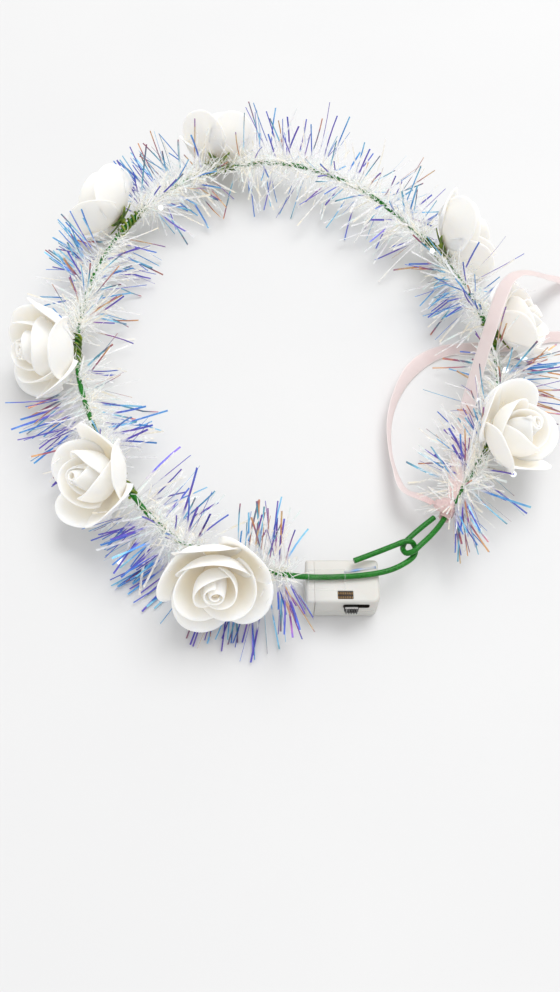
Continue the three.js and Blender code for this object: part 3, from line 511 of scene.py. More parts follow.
def foam_look(maker):
    rise = maker.attribute("rise")
    cells = maker.noise(5200, 2)
    drift = maker.noise(140, 3)
    # Painted shade: the colour darkens towards the foot of each petal.
    tone = rise + 0.12 * (drift - 0.5)
    inside = maker.ramp(tone, FOAM_INSIDE_TINT_AND_SHADE)
    outside = maker.ramp(tone, FOAM_OUTSIDE_TINT_AND_SHADE)
    colour = maker.mix(maker.attribute("inner"), outside, inside)
    # Painted glow: the foam gives off its own colour, lifting its shade.
    return {
        "Base Color": colour,
        "Emission Color": colour,
        "Roughness": maker.between(cells, 0.62, 0.8),
        "Normal": maker.bump(cells + 2.0 * drift, 0.00006, 0.35),
    }


CALYX_COLOURS = [
    (0.35, (0.03, 0.075, 0.012)), (0.5, (0.12, 0.20, 0.02)),
    (0.62, (0.30, 0.37, 0.035)), (0.75, (0.42, 0.46, 0.08)),
]


def calyx_look(maker):
    drift = maker.noise(350, 3)
    fibre = maker.noise(3200, 2)
    tone = 0.7 * drift + 0.3 * fibre
    return {
        "Base Color": maker.ramp(tone, CALYX_COLOURS),
        "Roughness": maker.between(fibre, 0.45, 0.65),
        "Normal": maker.bump(tone, 0.0001, 0.6),
    }


FILM_COLOURS = [
    (0.00, (0.045, 0.05, 0.50)), (0.15, (0.15, 0.07, 0.52)), (0.27, (0.06, 0.13, 0.68)),
    (0.385, (0.04, 0.30, 0.76)), (0.51, (0.26, 0.66, 0.90)), (0.595, (0.045, 0.27, 0.38)),
    (0.675, (0.36, 0.06, 0.15)), (0.755, (0.74, 0.34, 0.12)), (0.82, (0.76, 0.52, 0.24)),
    (0.885, (0.30, 0.06, 0.36)), (1.00, (0.045, 0.05, 0.50)),
]
FILM_PALE = [(0.0, (0.80, 0.81, 0.93)), (0.5, (0.90, 0.94, 0.93)), (1.0, (0.95, 0.86, 0.87))]


def film_look(maker):
    """Clear and pale near the band, and strongly coloured further out."""
    along = maker.attribute("along")
    tint = maker.attribute("tint")
    drift = maker.noise(260, 2)
    hue = maker.maths("FRACT", tint + 0.3 * along + 0.25 * (drift - 0.5) + 1.0)
    colour = maker.ramp(hue, FILM_COLOURS)
    pale = maker.ramp(hue, FILM_PALE)
    strength = maker.fitted(along + 0.9 * (drift - 0.5), 0.26, 0.55)
    return {
        "Base Color": maker.mix(strength, pale, colour),
        "Roughness": 0.16 + 0.18 * drift,
        "Alpha": 0.3 + 0.65 * strength,
        "Metallic": 0.2 * strength,
        "Through": 0.5 - 0.4 * strength,
    }


WHITE_FILM_SHEEN = [
    (0.0, (0.93, 0.93, 0.95)), (0.3, (0.97, 0.97, 0.96)), (0.55, (0.93, 0.83, 0.60)),
    (0.7, (0.97, 0.97, 0.96)), (0.85, (0.74, 0.91, 0.86)), (1.0, (0.94, 0.82, 0.87)),
]


def white_film_look(maker):
    along = maker.attribute("along")
    tint = maker.attribute("tint")
    drift = maker.noise(330, 2)
    hue = maker.maths("FRACT", tint + 0.6 * along + 0.5 * drift + 1.0)
    sheen = maker.ramp(hue, WHITE_FILM_SHEEN)
    # Painted glow: the film gives off its sheen colour.
    return {
        "Base Color": sheen,
        "Roughness": 0.14 + 0.2 * drift,
        "Alpha": maker.fitted(drift, 0.35, 0.7, 0.25, 0.8),
        "Emission Color": sheen,
        "Through": maker.between(drift, 0.3, 0.55),
    }


def resin_look(maker):
    swirl = maker.noise(900, 2)
    return {
        "Base Color": maker.ramp(swirl, [(0.35, (0.88, 0.93, 1.0)), (0.65, (1.0, 0.98, 0.94))]),
        "Roughness": maker.between(swirl, 0.05, 0.16),
        "Emission Color": maker.ramp(swirl, [(0.3, (0.75, 0.9, 1.0)), (0.7, (1.0, 0.97, 0.9))]),
    }


def plastic_look(maker):
    mould = maker.noise(60, 3)
    grain = maker.noise(3800, 2)
    return {
        "Base Color": maker.ramp(mould, [(0.3, (0.60, 0.58, 0.54)), (0.7, (0.65, 0.635, 0.60))]),
        "Roughness": maker.between(grain, 0.34, 0.5),
        "Normal": maker.bump(grain, 0.00003, 0.25),
    }


# Pale colour of the painted highlights on the black knob.
KNOB_HIGHLIGHT_COLOUR = (0.62, 0.61, 0.60, 1.0)


def knob_look(maker):
    worn = maker.attribute("worn")
    grain = maker.noise(2600, 2)
    dark = maker.ramp(grain, [(0.3, (0.004, 0.004, 0.004)), (0.7, (0.012, 0.011, 0.010))])
    # Painted highlight: the pale colour is mixed into the black on the front of the top and on the ridges.
    return {
        "Base Color": maker.mix(worn, dark, KNOB_HIGHLIGHT_COLOUR),
        "Roughness": maker.between(grain, 0.25, 0.4),
    }


PAD_COLOURS = [(0.3, (0.14, 0.08, 0.03)), (0.6, (0.28, 0.17, 0.07)), (0.75, (0.48, 0.33, 0.17))]


def contact_look(maker):
    pad = maker.attribute("pad")
    tarnish = maker.noise(1500, 3)
    board = maker.ramp(tarnish, [(0.3, (0.010, 0.005, 0.002)), (0.7, (0.028, 0.013, 0.005))])
    metal = maker.ramp(tarnish, PAD_COLOURS)
    return {
        "Base Color": maker.mix(pad, board, metal),
        "Roughness": maker.between(tarnish, 0.3, 0.55),
        "Metallic": 0.25 * pad,
    }


def tape_look(maker):
    """Nearly unseen, apart from its ripples and a painted highlight along its border, where it is pale and
    more opaque.
    """
    ripple = maker.noise(420, 3)
    border = maker.attribute("border")
    return {
        "Base Color": maker.ramp(ripple, [(0.3, (0.90, 0.90, 0.89)), (0.7, (0.97, 0.97, 0.97))]),
        "Alpha": maker.fitted(ripple, 0.3, 0.75, 0.0, 0.02) + 0.14 * border,
        "Normal": maker.bump(ripple, 0.0002, 0.5),
    }


SATIN_COLOURS = [(0.25, (0.91, 0.77, 0.76)), (0.5, (0.95, 0.85, 0.84)), (0.8, (0.98, 0.91, 0.90))]
SATIN_SELVEDGE = (0.98, 0.92, 0.91, 1.0)
# Deeper pink of the painted shade in folds and in the knot.
SATIN_FOLD_SHADE = (0.93, 0.64, 0.64, 1.0)
SATIN_PITCH = {"weft": 0.34, "warp": 0.3}


def satin_look(maker):
    """Sheer satin with a closer selvedge, and painted shade: deeper pink where it is folded."""
    along = maker.attribute("along")
    across = maker.attribute("across")
    edge = maker.fitted(maker.maths("ABSOLUTE", across), 0.84, 0.9)
    ribs = maker.maths("SINE", along * (2 * math.pi / SATIN_PITCH["weft"]))
    warp = maker.maths("SINE", across * (math.pi * RIBBON_WIDTH / SATIN_PITCH["warp"]))
    weave = ribs * 0.6 + warp * 0.4
    drift = maker.noise(150, 3)
    colour = maker.ramp(0.5 + 0.06 * weave + 0.7 * (drift - 0.5), SATIN_COLOURS)
    single = maker.mix(edge, colour, SATIN_SELVEDGE)
    return {
        "Base Color": maker.mix(0.8 * maker.attribute("folded"), single, SATIN_FOLD_SHADE),
        "Alpha": 0.66 + 0.24 * edge,
        "Roughness": 0.42 + 0.1 * drift,
        "Normal": maker.bump(weave, 0.00003, 0.5),
        "Through": 0.46 - 0.1 * edge,
    }


def table_look(maker):
    drift = maker.noise(9, 3)
    grain = maker.noise(900, 2)
    return {
        "Base Color": maker.ramp(drift, [(0.3, (0.719, 0.719, 0.721)), (0.7, (0.733, 0.733, 0.733))]),
        "Roughness": maker.between(grain, 0.5, 0.6),
    }


slot_look = speckled(2600, 2, (0.012, 0.008, 0.006), (0.03, 0.02, 0.016), (0.45, 0.65))
string_look = speckled(700, 2, (0.55, 0.50, 0.44), (0.80, 0.77, 0.72), (0.22, 0.4))
FOAM_GLOW = {"Subsurface Weight": 0.75, "Subsurface Radius": (1.0, 0.85, 0.65), "Subsurface Scale": 0.003}
RESIN = {"Transmission Weight": 0.3, "IOR": 1.48, "Emission Strength": 0.5, "Coat Weight": 0.5}
# The white film's emission is a painted glow that lifts the shade in the dense tinsel.
WHITE_FILM = {"Specular IOR Level": 0.8, "Emission Strength": 0.2}
SATIN_SHEEN = {"Sheen Weight": 0.3, "Sheen Roughness": 0.4}
green_wire = finish("green_coated_wire", {"Specular IOR Level": 0.28}, wire_look)
# The foam's emission is a painted glow that lifts its shade.
white_foam = finish("white_foam", FOAM_GLOW | {"Emission Strength": 0.12}, foam_look)
calyx_green = finish("calyx_green", {"Specular IOR Level": 0.4}, calyx_look)
iridescent_film = finish("iridescent_film", {"Specular IOR Level": 0.7}, film_look, (0.94, 0.94, 0.95, 1.0))
white_film = finish("white_film", WHITE_FILM, white_film_look, (0.97, 0.97, 0.97, 1.0))
bead_resin = finish("bead_resin", RESIN, resin_look)
case_plastic = finish("case_plastic", {"Specular IOR Level": 0.5, "Subsurface Weight": 0.05}, plastic_look)
knob_black = finish("knob_black", {"Specular IOR Level": 0.12}, knob_look)
slot_black = finish("slot_black", {"Specular IOR Level": 0.3}, slot_look)
contact_brass = finish("contact_brass", {"Specular IOR Level": 0.25}, contact_look)
tape_film = finish("tape_film", {"Roughness": 0.12, "Specular IOR Level": 0.3}, tape_look)
pink_satin = finish("pink_satin", SATIN_SHEEN, satin_look, (1.0, 0.92, 0.91, 1.0))
string_metal = finish("string_metal", {"Metallic": 0.9}, string_look)
table_top = finish("table_top", {"Specular IOR Level": 0.25}, table_look)


# Meshes. A part is its points, its faces and the named values of its points.
def shell(sheet, thickness, values=None, faced=False):
    """A closed wall about a sheet of points, thinner at its border, so that its rim is round."""
    rows, columns = sheet.shape[:2]
    count = rows * columns
    normal = unit(np.cross(np.gradient(sheet, axis=1), np.gradient(sheet, axis=0)) + 1e-9)
    i = np.arange(rows)[:, None]
    j = np.arange(columns)[None, :]
    inside = np.minimum(np.minimum(i, rows - 1 - i), np.minimum(j, columns - 1 - j))
    shift = normal * 0.5 * thickness * RIM_SHARES[np.clip(inside, 0, len(RIM_SHARES) - 1)][..., None]
    points = np.concatenate([(sheet + shift).reshape(-1, 3), (sheet - shift).reshape(-1, 3)])
    corner = (i[:-1] * columns + j[:, :-1]).ravel()
    front = np.stack([corner, corner + 1, corner + columns + 1, corner + columns], axis=1)
    back = front[:, ::-1] + count
    top = np.arange(columns)
    bottom = top + (rows - 1) * columns
    left = np.arange(rows) * columns
    right = left + columns - 1
    rim = np.concatenate([top[:-1], right[:-1], bottom[:0:-1], left[:0:-1]])
    following = np.roll(rim, -1)
    edge = np.stack([following, rim, rim + count, following + count], axis=1)
    named = {}
    for name, value in (values or {}).items():
        named[name] = np.tile(np.broadcast_to(value, (rows, columns)).ravel(), 2)
    if faced:
        named["inner"] = np.repeat([0.0, 1.0], count)
    return {"points": points, "faces": np.concatenate([front, back, edge]).tolist(), "values": named}


def lathe(profile, sides=20):
    """A closed body of revolution about Z through (radius, height) pairs, with its ends closed."""
    turn = full_turn(sides)
    ring = np.stack([np.cos(turn), np.sin(turn), np.zeros(sides)], axis=1)
    return loft([ring * radius + UP * height for radius, height in profile])


def loft(rings):
    """A closed body through rings of points, with its ends closed."""
    count = len(rings[0])
    faces = [list(range(count))[::-1], [(len(rings) - 1) * count + k for k in range(count)]]
    for i in range(len(rings) - 1):
        for k in range(count):
            a, b = i * count + k, i * count + (k + 1) % count
            faces.append([a, b, b + count, a + count])
    return {"points": np.concatenate(rings), "faces": faces, "values": {}}


def valued(part, name, value):
    """The part with one value on all its points."""
    return {**part, "values": {**part["values"], name: np.full(len(part["points"]), value)}}


def moved(part, matrix):
    points = part["points"] @ matrix[:3, :3].T + matrix[:3, 3]
    return {**part, "points": points}


def recentred(part):
    return {**part, "points": part["points"] + OVAL_CENTRE}


def mesh_of(name, parts):
    points = np.concatenate([part["points"] for part in parts]) * MM
    faces = []
    start = 0
    for part in parts:
        faces += [[corner + start for corner in face] for face in part["faces"]]
        start += len(part["points"])
    mesh = bpy.data.meshes.new(name)
    mesh.from_pydata(points.tolist(), [], faces)
    for key in parts[0]["values"]:
        layer = mesh.attributes.new(key, "FLOAT", "POINT")
        layer.data.foreach_set("value", np.concatenate([part["values"][key] for part in parts]))
    shaper = bmesh.new()
    shaper.from_mesh(mesh)
    bmesh.ops.recalc_face_normals(shaper, faces=shaper.faces)
    shaper.to_mesh(mesh)
    shaper.free()
    smooth(mesh)
    return mesh


def smooth(mesh, sharpest=None):
    mesh.polygons.foreach_set("use_smooth", np.ones(len(mesh.polygons), bool))
    if sharpest:
        mesh.set_sharp_from_angle(angle=math.radians(sharpest))


def join_meshes(name, meshes):
    shaper = bmesh.new()
    for mesh in meshes:
        shaper.from_mesh(mesh)
    whole = bpy.data.meshes.new(name)
    shaper.to_mesh(whole)
    shaper.free()
    return whole


def set_down(name, mesh):
    item = bpy.data.objects.new(name, mesh)
    bpy.context.scene.collection.objects.link(item)
    return item


def add_piece(name, mesh, material, nodes=(), body="crown", sharpest=None):
    if sharpest:
        smooth(mesh, sharpest)
    mesh.materials.clear()
    mesh.materials.append(material)
    item = set_down(name, mesh)
    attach(item, body)
    if nodes:
        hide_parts(*nodes)
    return item


def add_material(mesh, material, first_face):
    """A second material for the faces from first_face on."""
    mesh.materials.append(material)
    kinds = (np.arange(len(mesh.polygons)) >= first_face).astype(int)
    mesh.polygons.foreach_set("material_index", kinds)


def shaped(item):
    """The plain mesh that an object's modifiers give."""
    bpy.context.view_layer.update()
    graph = bpy.context.evaluated_depsgraph_get()
    mesh = bpy.data.meshes.new_from_object(item.evaluated_get(graph))
    bpy.data.objects.remove(item)
    return mesh


# Node trees that grow a piece along a line of points.
def new_tree(name, sockets):
    tree = bpy.data.node_groups.new(name, "GeometryNodeTree")
    tree.interface.new_socket("Geometry", in_out="OUTPUT", socket_type="NodeSocketGeometry")
    tree.interface.new_socket("Geometry", in_out="INPUT", socket_type="NodeSocketGeometry")
    for label, kind in sockets.items():
        tree.interface.new_socket(label, in_out="INPUT", socket_type=kind)
    return tree


def line_mesh(points):
    mesh = bpy.data.meshes.new("line")
    edges = [(k, k + 1) for k in range(len(points) - 1)]
    mesh.from_pydata((np.asarray(points) * MM).tolist(), edges, [])
    return mesh


def grown(points, tree, inputs):
    item = set_down("growing", line_mesh(points))
    modifier = item.modifiers.new("grow", "NODES")
    modifier.node_group = tree
    for socket in tree.interface.items_tree:
        if socket.item_type == "SOCKET" and socket.in_out == "INPUT" and socket.name in inputs:
            modifier[socket.identifier] = inputs[socket.name]
    return shaped(item)


def strand_tree():
    """A round strand along the line, with closed ends."""
    kinds = {"Radius": "NodeSocketFloat", "Sides": "NodeSocketInt", "Material": "NodeSocketMaterial"}
    maker = Maker(new_tree("round_strand", kinds))
    given = maker.add("NodeGroupInput")
    curve = maker.add("GeometryNodeMeshToCurve", None, {"Mesh": given})
    ring = {"Resolution": given.also("Sides"), "Radius": given.also("Radius")}
    circle = maker.add("GeometryNodeCurvePrimitiveCircle", None, ring)
    sweep = {"Curve": curve, "Profile Curve": circle, "Fill Caps": True}
    tube = maker.add("GeometryNodeCurveToMesh", None, sweep)
    whole = maker.add("GeometryNodeRealizeInstances", None, {"Geometry": tube})
    dress = {"Geometry": whole, "Material": given.also("Material")}
    dressed = maker.add("GeometryNodeSetMaterial", None, dress)
    maker.add("NodeGroupOutput", None, {"Geometry": dressed})
    return maker.tree


round_strand = strand_tree()


def strand(points, radius, sides, material):
    mesh = grown(points, round_strand, {"Radius": radius * MM, "Sides": sides, "Material": material})
    smooth(mesh, STRAND_SHARPEST)
    return mesh


def wound(points, row, material, start=0.0):
    """A strand in a helix about a line of evenly spaced points."""
    along = directions(points)
    side = unit(np.cross(along, UP))
    over = np.cross(side, along)
    angle = (2 * np.pi * lengths(points) / row["pitch"] + start)[:, None]
    helix = points + row["coil"] * (side * np.cos(angle) + over * np.sin(angle))
    return strand(helix, row["radius"], row["sides"], material)


def twisted_pair(points, row, material):
    return [wound(points, row, material, start) for start in (0, np.pi)]


# Camera.
camera_data = bpy.data.cameras.new("camera")
camera_data.lens = CAMERA_LENS
camera_data.sensor_width = SENSOR_WIDTH
camera_data.clip_start = CLIP_START
camera = bpy.data.objects.new("camera", camera_data)
camera.location = Vector(CAMERA_PLACE * MM)
camera.rotation_euler = (math.radians(90 - CAMERA_DOWN), 0, 0)
bpy.context.scene.collection.objects.link(camera)
bpy.context.scene.camera = camera


# Ribbon tails: flat satin with a soft curl across, pinched where they leave the knot.
def ribbon_sheet(rows):
    table = np.array(rows)
    route = Route(table[:, :3] + OVAL_CENTRE)
    places = np.linspace(0, route.last, RIBBON_STEPS * route.last + 1)
    line = route.at(places)
    along = directions(line)
    roll = np.radians(np.interp(places, np.arange(len(table)), table[:, 3]))[:, None]
    level = unit(np.cross(along, UP))
    side = level * np.cos(roll) + np.cross(along, level) * np.sin(roll)
    face = np.cross(side, along)
    run = lengths(line)
    across = np.linspace(-1, 1, RIBBON_COLUMNS)
    free = np.clip(run / PINCH["length"], 0, 1)
    half = RIBBON_WIDTH / 2 * (PINCH["share"] + (1 - PINCH["share"]) * free ** PINCH["ease"])
    pleat = PINCH["pleat"] * (1 - free[:, None]) * np.cos(PINCH["pleats"] * np.pi * across)
    rise = RIBBON_CURL["height"] * (1 - across**2) - RIBBON_CURL["sink"] + pleat
    aside = side[:, None] * (across * half[:, None])[..., None]
    sheet = line[:, None] + aside + face[:, None] * rise[..., None]
    ones = np.ones((len(run), len(across)))
    # The fold value carries the painted shade: full at the knot, fading along the pinch.
    values = {"along": run[:, None] * ones, "across": across * ones, "folded": (1 - free)[:, None] * ones}
    return line, shell(sheet, RIBBON_THICKNESS, values)


def ribbon_tail(name, rows, node):
    line, part = ribbon_sheet(rows)
    tail = add_piece(name, mesh_of(name, [part]), pink_satin, [node])


ribbon_tail("pink_ribbon_a", RIBBON_TAIL_A, "ribbon_tail_a")
ribbon_tail("pink_ribbon_b", RIBBON_TAIL_B, "ribbon_tail_b")


# Knot: loops of ribbon drawn tight round the band, and the creased lump that the tails leave.
def knot_loops(middle, along):
    side = unit(np.cross(along, UP))
    over = np.cross(side, along)
    turn = np.linspace(0, 2 * np.pi, KNOT_LOOP["rows"])[:, None]
    across = np.linspace(-1, 1, KNOT_LOOP["columns"])[None, :]
    ripple_across, ripple_round = KNOT_LOOP["ripple"]
    ripple = ripple_across * np.cos(2 * np.pi * across) + ripple_round * np.sin(3 * turn)
    values = {"along": 6 * turn, "across": 0.8 * across, "folded": 1.0}
    loops = []
    for offset, lean, radius in KNOT_LOOPS:
        around = (radius + ripple)[..., None] * (side * np.cos(turn) + over * np.sin(turn))[:, None]
        shift = offset + lean * np.sin(turn) + KNOT_LOOP["half"] * across
        loops.append(shell(middle + around + along * shift[..., None], RIBBON_THICKNESS, values))
    return loops


def knot_lump(middle):
    polar = np.linspace(KNOT_LUMP["pole"], np.pi - KNOT_LUMP["pole"], KNOT_LUMP["rows"])[:, None]
    turn = full_turn(KNOT_LUMP["columns"])[None, :]
    crease = 1 + sum(depth * np.sin(beats * turn + rows * polar) for depth, beats, rows in KNOT_CREASES)
    ball = [np.cos(polar) + 0 * turn, np.sin(polar) * np.cos(turn), np.sin(polar) * np.sin(turn)]
    body = np.stack(ball, axis=-1) * crease[..., None] * np.array(KNOT_LUMP["half"])
    lump = loft(list(middle + np.array(KNOT_LUMP["offset"]) + body))
    lump["values"] = {
        "along": (4 * np.cos(polar) + 3 * np.sin(turn)).ravel(),
        "across": (0.7 * np.sin(3 * turn + 4 * polar)).ravel(),
        "folded": np.ones(crease.size),
    }
    return lump


knot_middle = band.at(oval_end)
knot_along = unit(band.at(oval_end + KNOT_AHEAD) - knot_middle)
knot_mesh = mesh_of("pink_ribbon_knot", [*knot_loops(knot_middle, knot_along), knot_lump(knot_middle)])
add_piece("pink_ribbon_knot", knot_mesh, pink_satin, ["ribbon_knot"])

# Band wire: one round length with its two hooks and flat cut ends.
wire_points = np.concatenate([
    band.evenly(0, oval_first - 1, HOOK_STEP)[:-1],
    band.evenly(oval_first - 1, oval_end, RING_STEP)[:-1],
    band.evenly(oval_end, band.last, HOOK_STEP),
])
wire_mesh = strand(wire_points, WIRE_RADIUS, WIRE_SIDES, green_wire)
add_piece("coated_wire", wire_mesh, green_wire, ["band_wire"])


# Roses.
def bezier(profile, t):
    p0, p1, p2, p3 = (np.array(pair, float) for pair in profile)
    t = t[..., None]
    return (1 - t) ** 3 * p0 + 3 * (1 - t) ** 2 * t * p1 + 3 * (1 - t) * t**2 * p2 + t**3 * p3


def petal(row, index, draw, opened):
    columns = max(PETAL_ACROSS["least"], row["span"] // PETAL_ACROSS["degrees"])
    u = np.linspace(-1, 1, columns)[None, :]
    v = 1 - (1 - np.linspace(0, 1, PETAL_UP)[:, None]) ** PETAL_CROWDING
    rise = v * (1 - row["round"] * np.abs(u) ** PETAL_CORNER)
    spot = bezier(row["profile"], rise)
    sway = draw.uniform(-PETAL_STRAY["sway"], PETAL_STRAY["sway"])
    lift = draw.uniform(-PETAL_STRAY["lift"], PETAL_STRAY["lift"])
    phase = draw.uniform(0, PETAL_STRAY["phase"])
    turned = draw.uniform(-PETAL_STRAY["turn"], PETAL_STRAY["turn"])
    out_size, out_beat = PETAL_WAVES["out"]
    up_size, up_beat = PETAL_WAVES["up"]
    curl = np.clip((v - LIP["start"]) / (1 - LIP["start"]), 0, 1)
    loose = min(1.0, row["count"] / 2)
    radius = spot[..., 0] * (1 - row["close"] * (1 - opened) * rise**2) + row["wrap"] * u * rise
    radius = radius + row["lip"] * curl**2 * (1 - LIP["side_loss"] * np.abs(u))
    radius = radius + rise**2 * (sway + out_size * np.sin(out_beat * u + phase)) * loose
    height = spot[..., 1] + rise**2 * (lift + up_size * np.cos(up_beat * u + phase))
    height = height - LIP["droop"] * row["lip"] * curl**3
    angle = np.radians(row["turn"] + 360 / row["count"] * index + u * row["span"] / 2 + turned)
    sheet = np.stack([radius * np.cos(angle), radius * np.sin(angle), height], axis=-1)
    return shell(sheet, PETAL_THICKNESS, {"rise": v}, faced=True)


def flower(seed, opened):
    draw = np.random.default_rng(seed)
    petals = [petal(row, index, draw, opened) for row in PETAL_ROWS for index in range(row["count"])]
    return [*petals, valued(valued(lathe(ROSE_HEART), "rise", 0.0), "inner", 1.0)]


def rose_matrix(rose, tilt):
    heading, rise, spin = (math.radians(angle) for angle in (rose["heading"], tilt, rose["spin"]))
    ahead = np.array([math.cos(heading), math.sin(heading), 0])
    axis = ahead * math.cos(rise) + UP * math.sin(rise)
    side = unit(np.cross(UP, axis))
    basis = np.stack([side, np.cross(axis, side), axis], axis=1)
    about = np.array([[math.cos(spin), -math.sin(spin), 0], [math.sin(spin), math.cos(spin), 0], [0, 0, 1]])
    matrix = np.eye(4)
    pressed = np.diag([1, rose["squash"], 1])
    matrix[:3, :3] = basis @ pressed @ about * rose["size"]
    matrix[:3, 3] = band.at(band_place(rose["turn"])) + axis * ROSE_STANDOFF
    return matrix


def rested_matrix(rose, parts):
    """The least tilt at which no petal is below the table."""
    points = np.concatenate([part["points"] for part in parts])

    def lowest(tilt):
        matrix = rose_matrix(rose, tilt)
        return (points @ matrix[2, :3]).min() + matrix[2, 3]

    low, high = rose["tilt"], STEEPEST_TILT
    if lowest(low) >= 0:
        return rose_matrix(rose, low)
    for _ in range(TILT_TRIES):
        middle = (low + high) / 2
        low, high = (middle, high) if lowest(middle) < 0 else (low, middle)
    return rose_matrix(rose, high)


# Calyx: five sepals under the rose, a short stalk and the stem wound round the band.
def sepal(index):
    v = np.linspace(0, 1, SEPAL_MESH[0])[:, None]
    u = np.linspace(-1, 1, SEPAL_MESH[1])[None, :]
    neck = SEPAL_NECK["share"] + (1 - SEPAL_NECK["share"]) * np.clip(v / SEPAL_NECK["end"], 0, 1)
    half = SEPAL["half"] * np.clip(1 - v, SEPAL_NECK["tip"], 1) ** SEPAL["taper"] * neck
    reach = SEPAL["foot"] + SEPAL["length"] * v
    level = SEPAL["level"] + SEPAL["rise"] * v**2 - SEPAL["keel"] * np.abs(u)
    turn = 2 * math.pi * index / SEPAL_COUNT
    outward = np.array([math.cos(turn), math.sin(turn), 0])
    sideways = np.array([-math.sin(turn), math.cos(turn), 0])
    sheet = outward * reach[..., None] + sideways * (u * half)[..., None] + UP * level[..., None]
    return shell(sheet, SEPAL["thickness"])


def calyx(rose, matrix):
    leaves = [lathe(STALK, STALK_SIDES), *(sepal(index) for index in range(SEPAL_COUNT))]
    leaf_mesh = mesh_of("leaves", [moved(part, matrix) for part in leaves])
    margin = turn_margin(rose["turn"], BARE_STEM)
    core = band_stretch(rose["turn"] + margin, rose["turn"] - margin, STEM["step"])
    return join_meshes("calyx", [leaf_mesh, *twisted_pair(core, STEM, calyx_green)])


shields = []
for number, rose in enumerate(ROSES, 1):
    parts = flower(number, rose["open"])
    matrix = rested_matrix(rose, parts)
    mesh = mesh_of("rose", [moved(part, matrix) for part in parts])
    shields.append(mesh)
    add_piece(f"foam_rose_{number}", mesh, white_foam, [f"rose_{number}"])
    green = calyx(rose, matrix)
    smooth(green, JOINED_SHARPEST)
    add_piece(f"green_calyx_{number}", green, calyx_green, [f"calyx_{number}"])


# Light beads, each on a twisted pair of leads, and the hair-thin string that they hang on.
def light(number, row):
    bead = np.array(row["bead"]) + OVAL_CENTRE
    foot = band.at(band_place(row["turn"]))
    axis = unit(foot - bead)
    side = unit(np.cross(axis, UP))
    matrix = np.eye(4)
    matrix[:3, :3] = np.stack([side, np.cross(axis, side), axis], axis=1)
    matrix[:3, 3] = bead
    angles = np.radians(np.linspace(-90, BEAD["shoulder"], BEAD["steps"]))
    dome = [(BEAD["radius"] * math.cos(a) + BEAD["tip"], BEAD["radius"] * math.sin(a)) for a in angles]
    glass = mesh_of("bead", [moved(lathe([*dome, *BEAD_NECK]), matrix)])
    lead_start = bead + axis * LEAD_ENDS["from_bead"]
    lead = np.linspace(lead_start, foot - axis * LEAD_ENDS["off_band"], LEAD["points"])
    mesh = join_meshes("light", [glass, *twisted_pair(lead, LEAD, string_metal)])
    smooth(mesh, JOINED_SHARPEST)
    add_piece(f"light_bead_{number}", mesh, bead_resin, [f"led_{number}"])
    add_material(mesh, string_metal, len(glass.polygons))


for number, row in enumerate(LIGHTS, 1):
    light(number, row)
string_line = band_stretch(GARLAND_START_TURN, GARLAND_END_TURN, STRING["step"])
add_piece("light_string", wound(string_line, STRING, string_metal), string_metal)


# Battery case.
def rounded_plan(low, high, radii, inset):
    """A rectangle's outline with a radius for each corner, drawn in by inset."""
    (left, bottom), (right, top) = low, high
    corners = [(left, bottom, 1, 1), (right, bottom, -1, 1), (right, top, -1, -1), (left, top, 1, -1)]
    outline = []
    for k, (x, y, inward, upward) in enumerate(corners):
        radius = max(radii[k] - inset, LEAST_RADIUS)
        middle = (x + inward * (inset + radius), y + upward * (inset + radius))
        first = math.pi + k * math.pi / 2
        for a in np.linspace(first, first + math.pi / 2, CORNER_STEPS):
            outline.append((middle[0] + radius * math.cos(a), middle[1] + radius * math.sin(a)))
    return np.array(outline)


def soft_block(low, high, radii, height, top, bottom, groove=None, square=None):
    """A block with rounded edges and a groove round it. A square side, -1 for left or 1 for right, keeps its
    edges."""
    arc = np.linspace(0, np.pi / 2, EDGE_STEPS)
    levels = [(bottom * (1 - math.sin(a)), bottom * (1 - math.cos(a))) for a in arc]
    if groove:
        steps = [(0, -GROOVE["half"]), (GROOVE["depth"], -GROOVE["floor"])]
        steps += [(GROOVE["depth"], GROOVE["floor"]), (0, GROOVE["half"])]
        levels += [(inset, groove + shift) for inset, shift in steps]
    levels += [(top * (1 - math.cos(a)), height - top + top * math.sin(a)) for a in arc]
    rings = []
    for inset, z in levels:
        kept = np.array([inset, 0])
        plan = rounded_plan(low - kept * (square == -1), high + kept * (square == 1), radii, inset)
        rings.append(np.column_stack([plan, np.full(len(plan), z)]))
    return loft(rings)


def front_block(low, high, radius, levels):
    """A block through outlines that face the viewer. Each level is an inset and a depth along Y."""
    rings = []
    for inset, y in levels:
        plan = rounded_plan(low, high, (radius,) * 4, inset)
        rings.append(np.column_stack([plan[:, 0], np.full(len(plan), y), plan[:, 1]]))
    return loft(rings)


def cut(mesh, cutters):
    item = set_down("block", mesh)
    tools = [set_down("cutter", tool) for tool in cutters]
    for tool in tools:
        modifier = item.modifiers.new("cut", "BOOLEAN")
        modifier.object = tool
        modifier.operation = "DIFFERENCE"
        modifier.solver = "EXACT"
    result = shaped(item)
    for tool in tools:
        bpy.data.objects.remove(tool)
    return result


def raised(part, height):
    return {**part, "points": part["points"] + UP * height}


def case_window(inset, low, high):
    start = np.array(WINDOW["low"])
    corners = (WINDOW["corner"],) * 4
    end = start + WINDOW["size"]
    part = soft_block(start + inset, end - inset, corners, high - low, SMALL_EDGE, SMALL_EDGE)
    return recentred(raised(part, low))


slot_low = (SLOT["x"], SLOT["z"])
slot_high = (SLOT["x"] + SLOT["width"], SLOT["z"] + SLOT["height"])
case_low = np.array(CASE["low"])
case_high = case_low + CASE["size"]
case_front = case_low[1]
slot_back = case_front + SLOT["recess"]
window_floor = CASE["height"] - WINDOW["recess"]


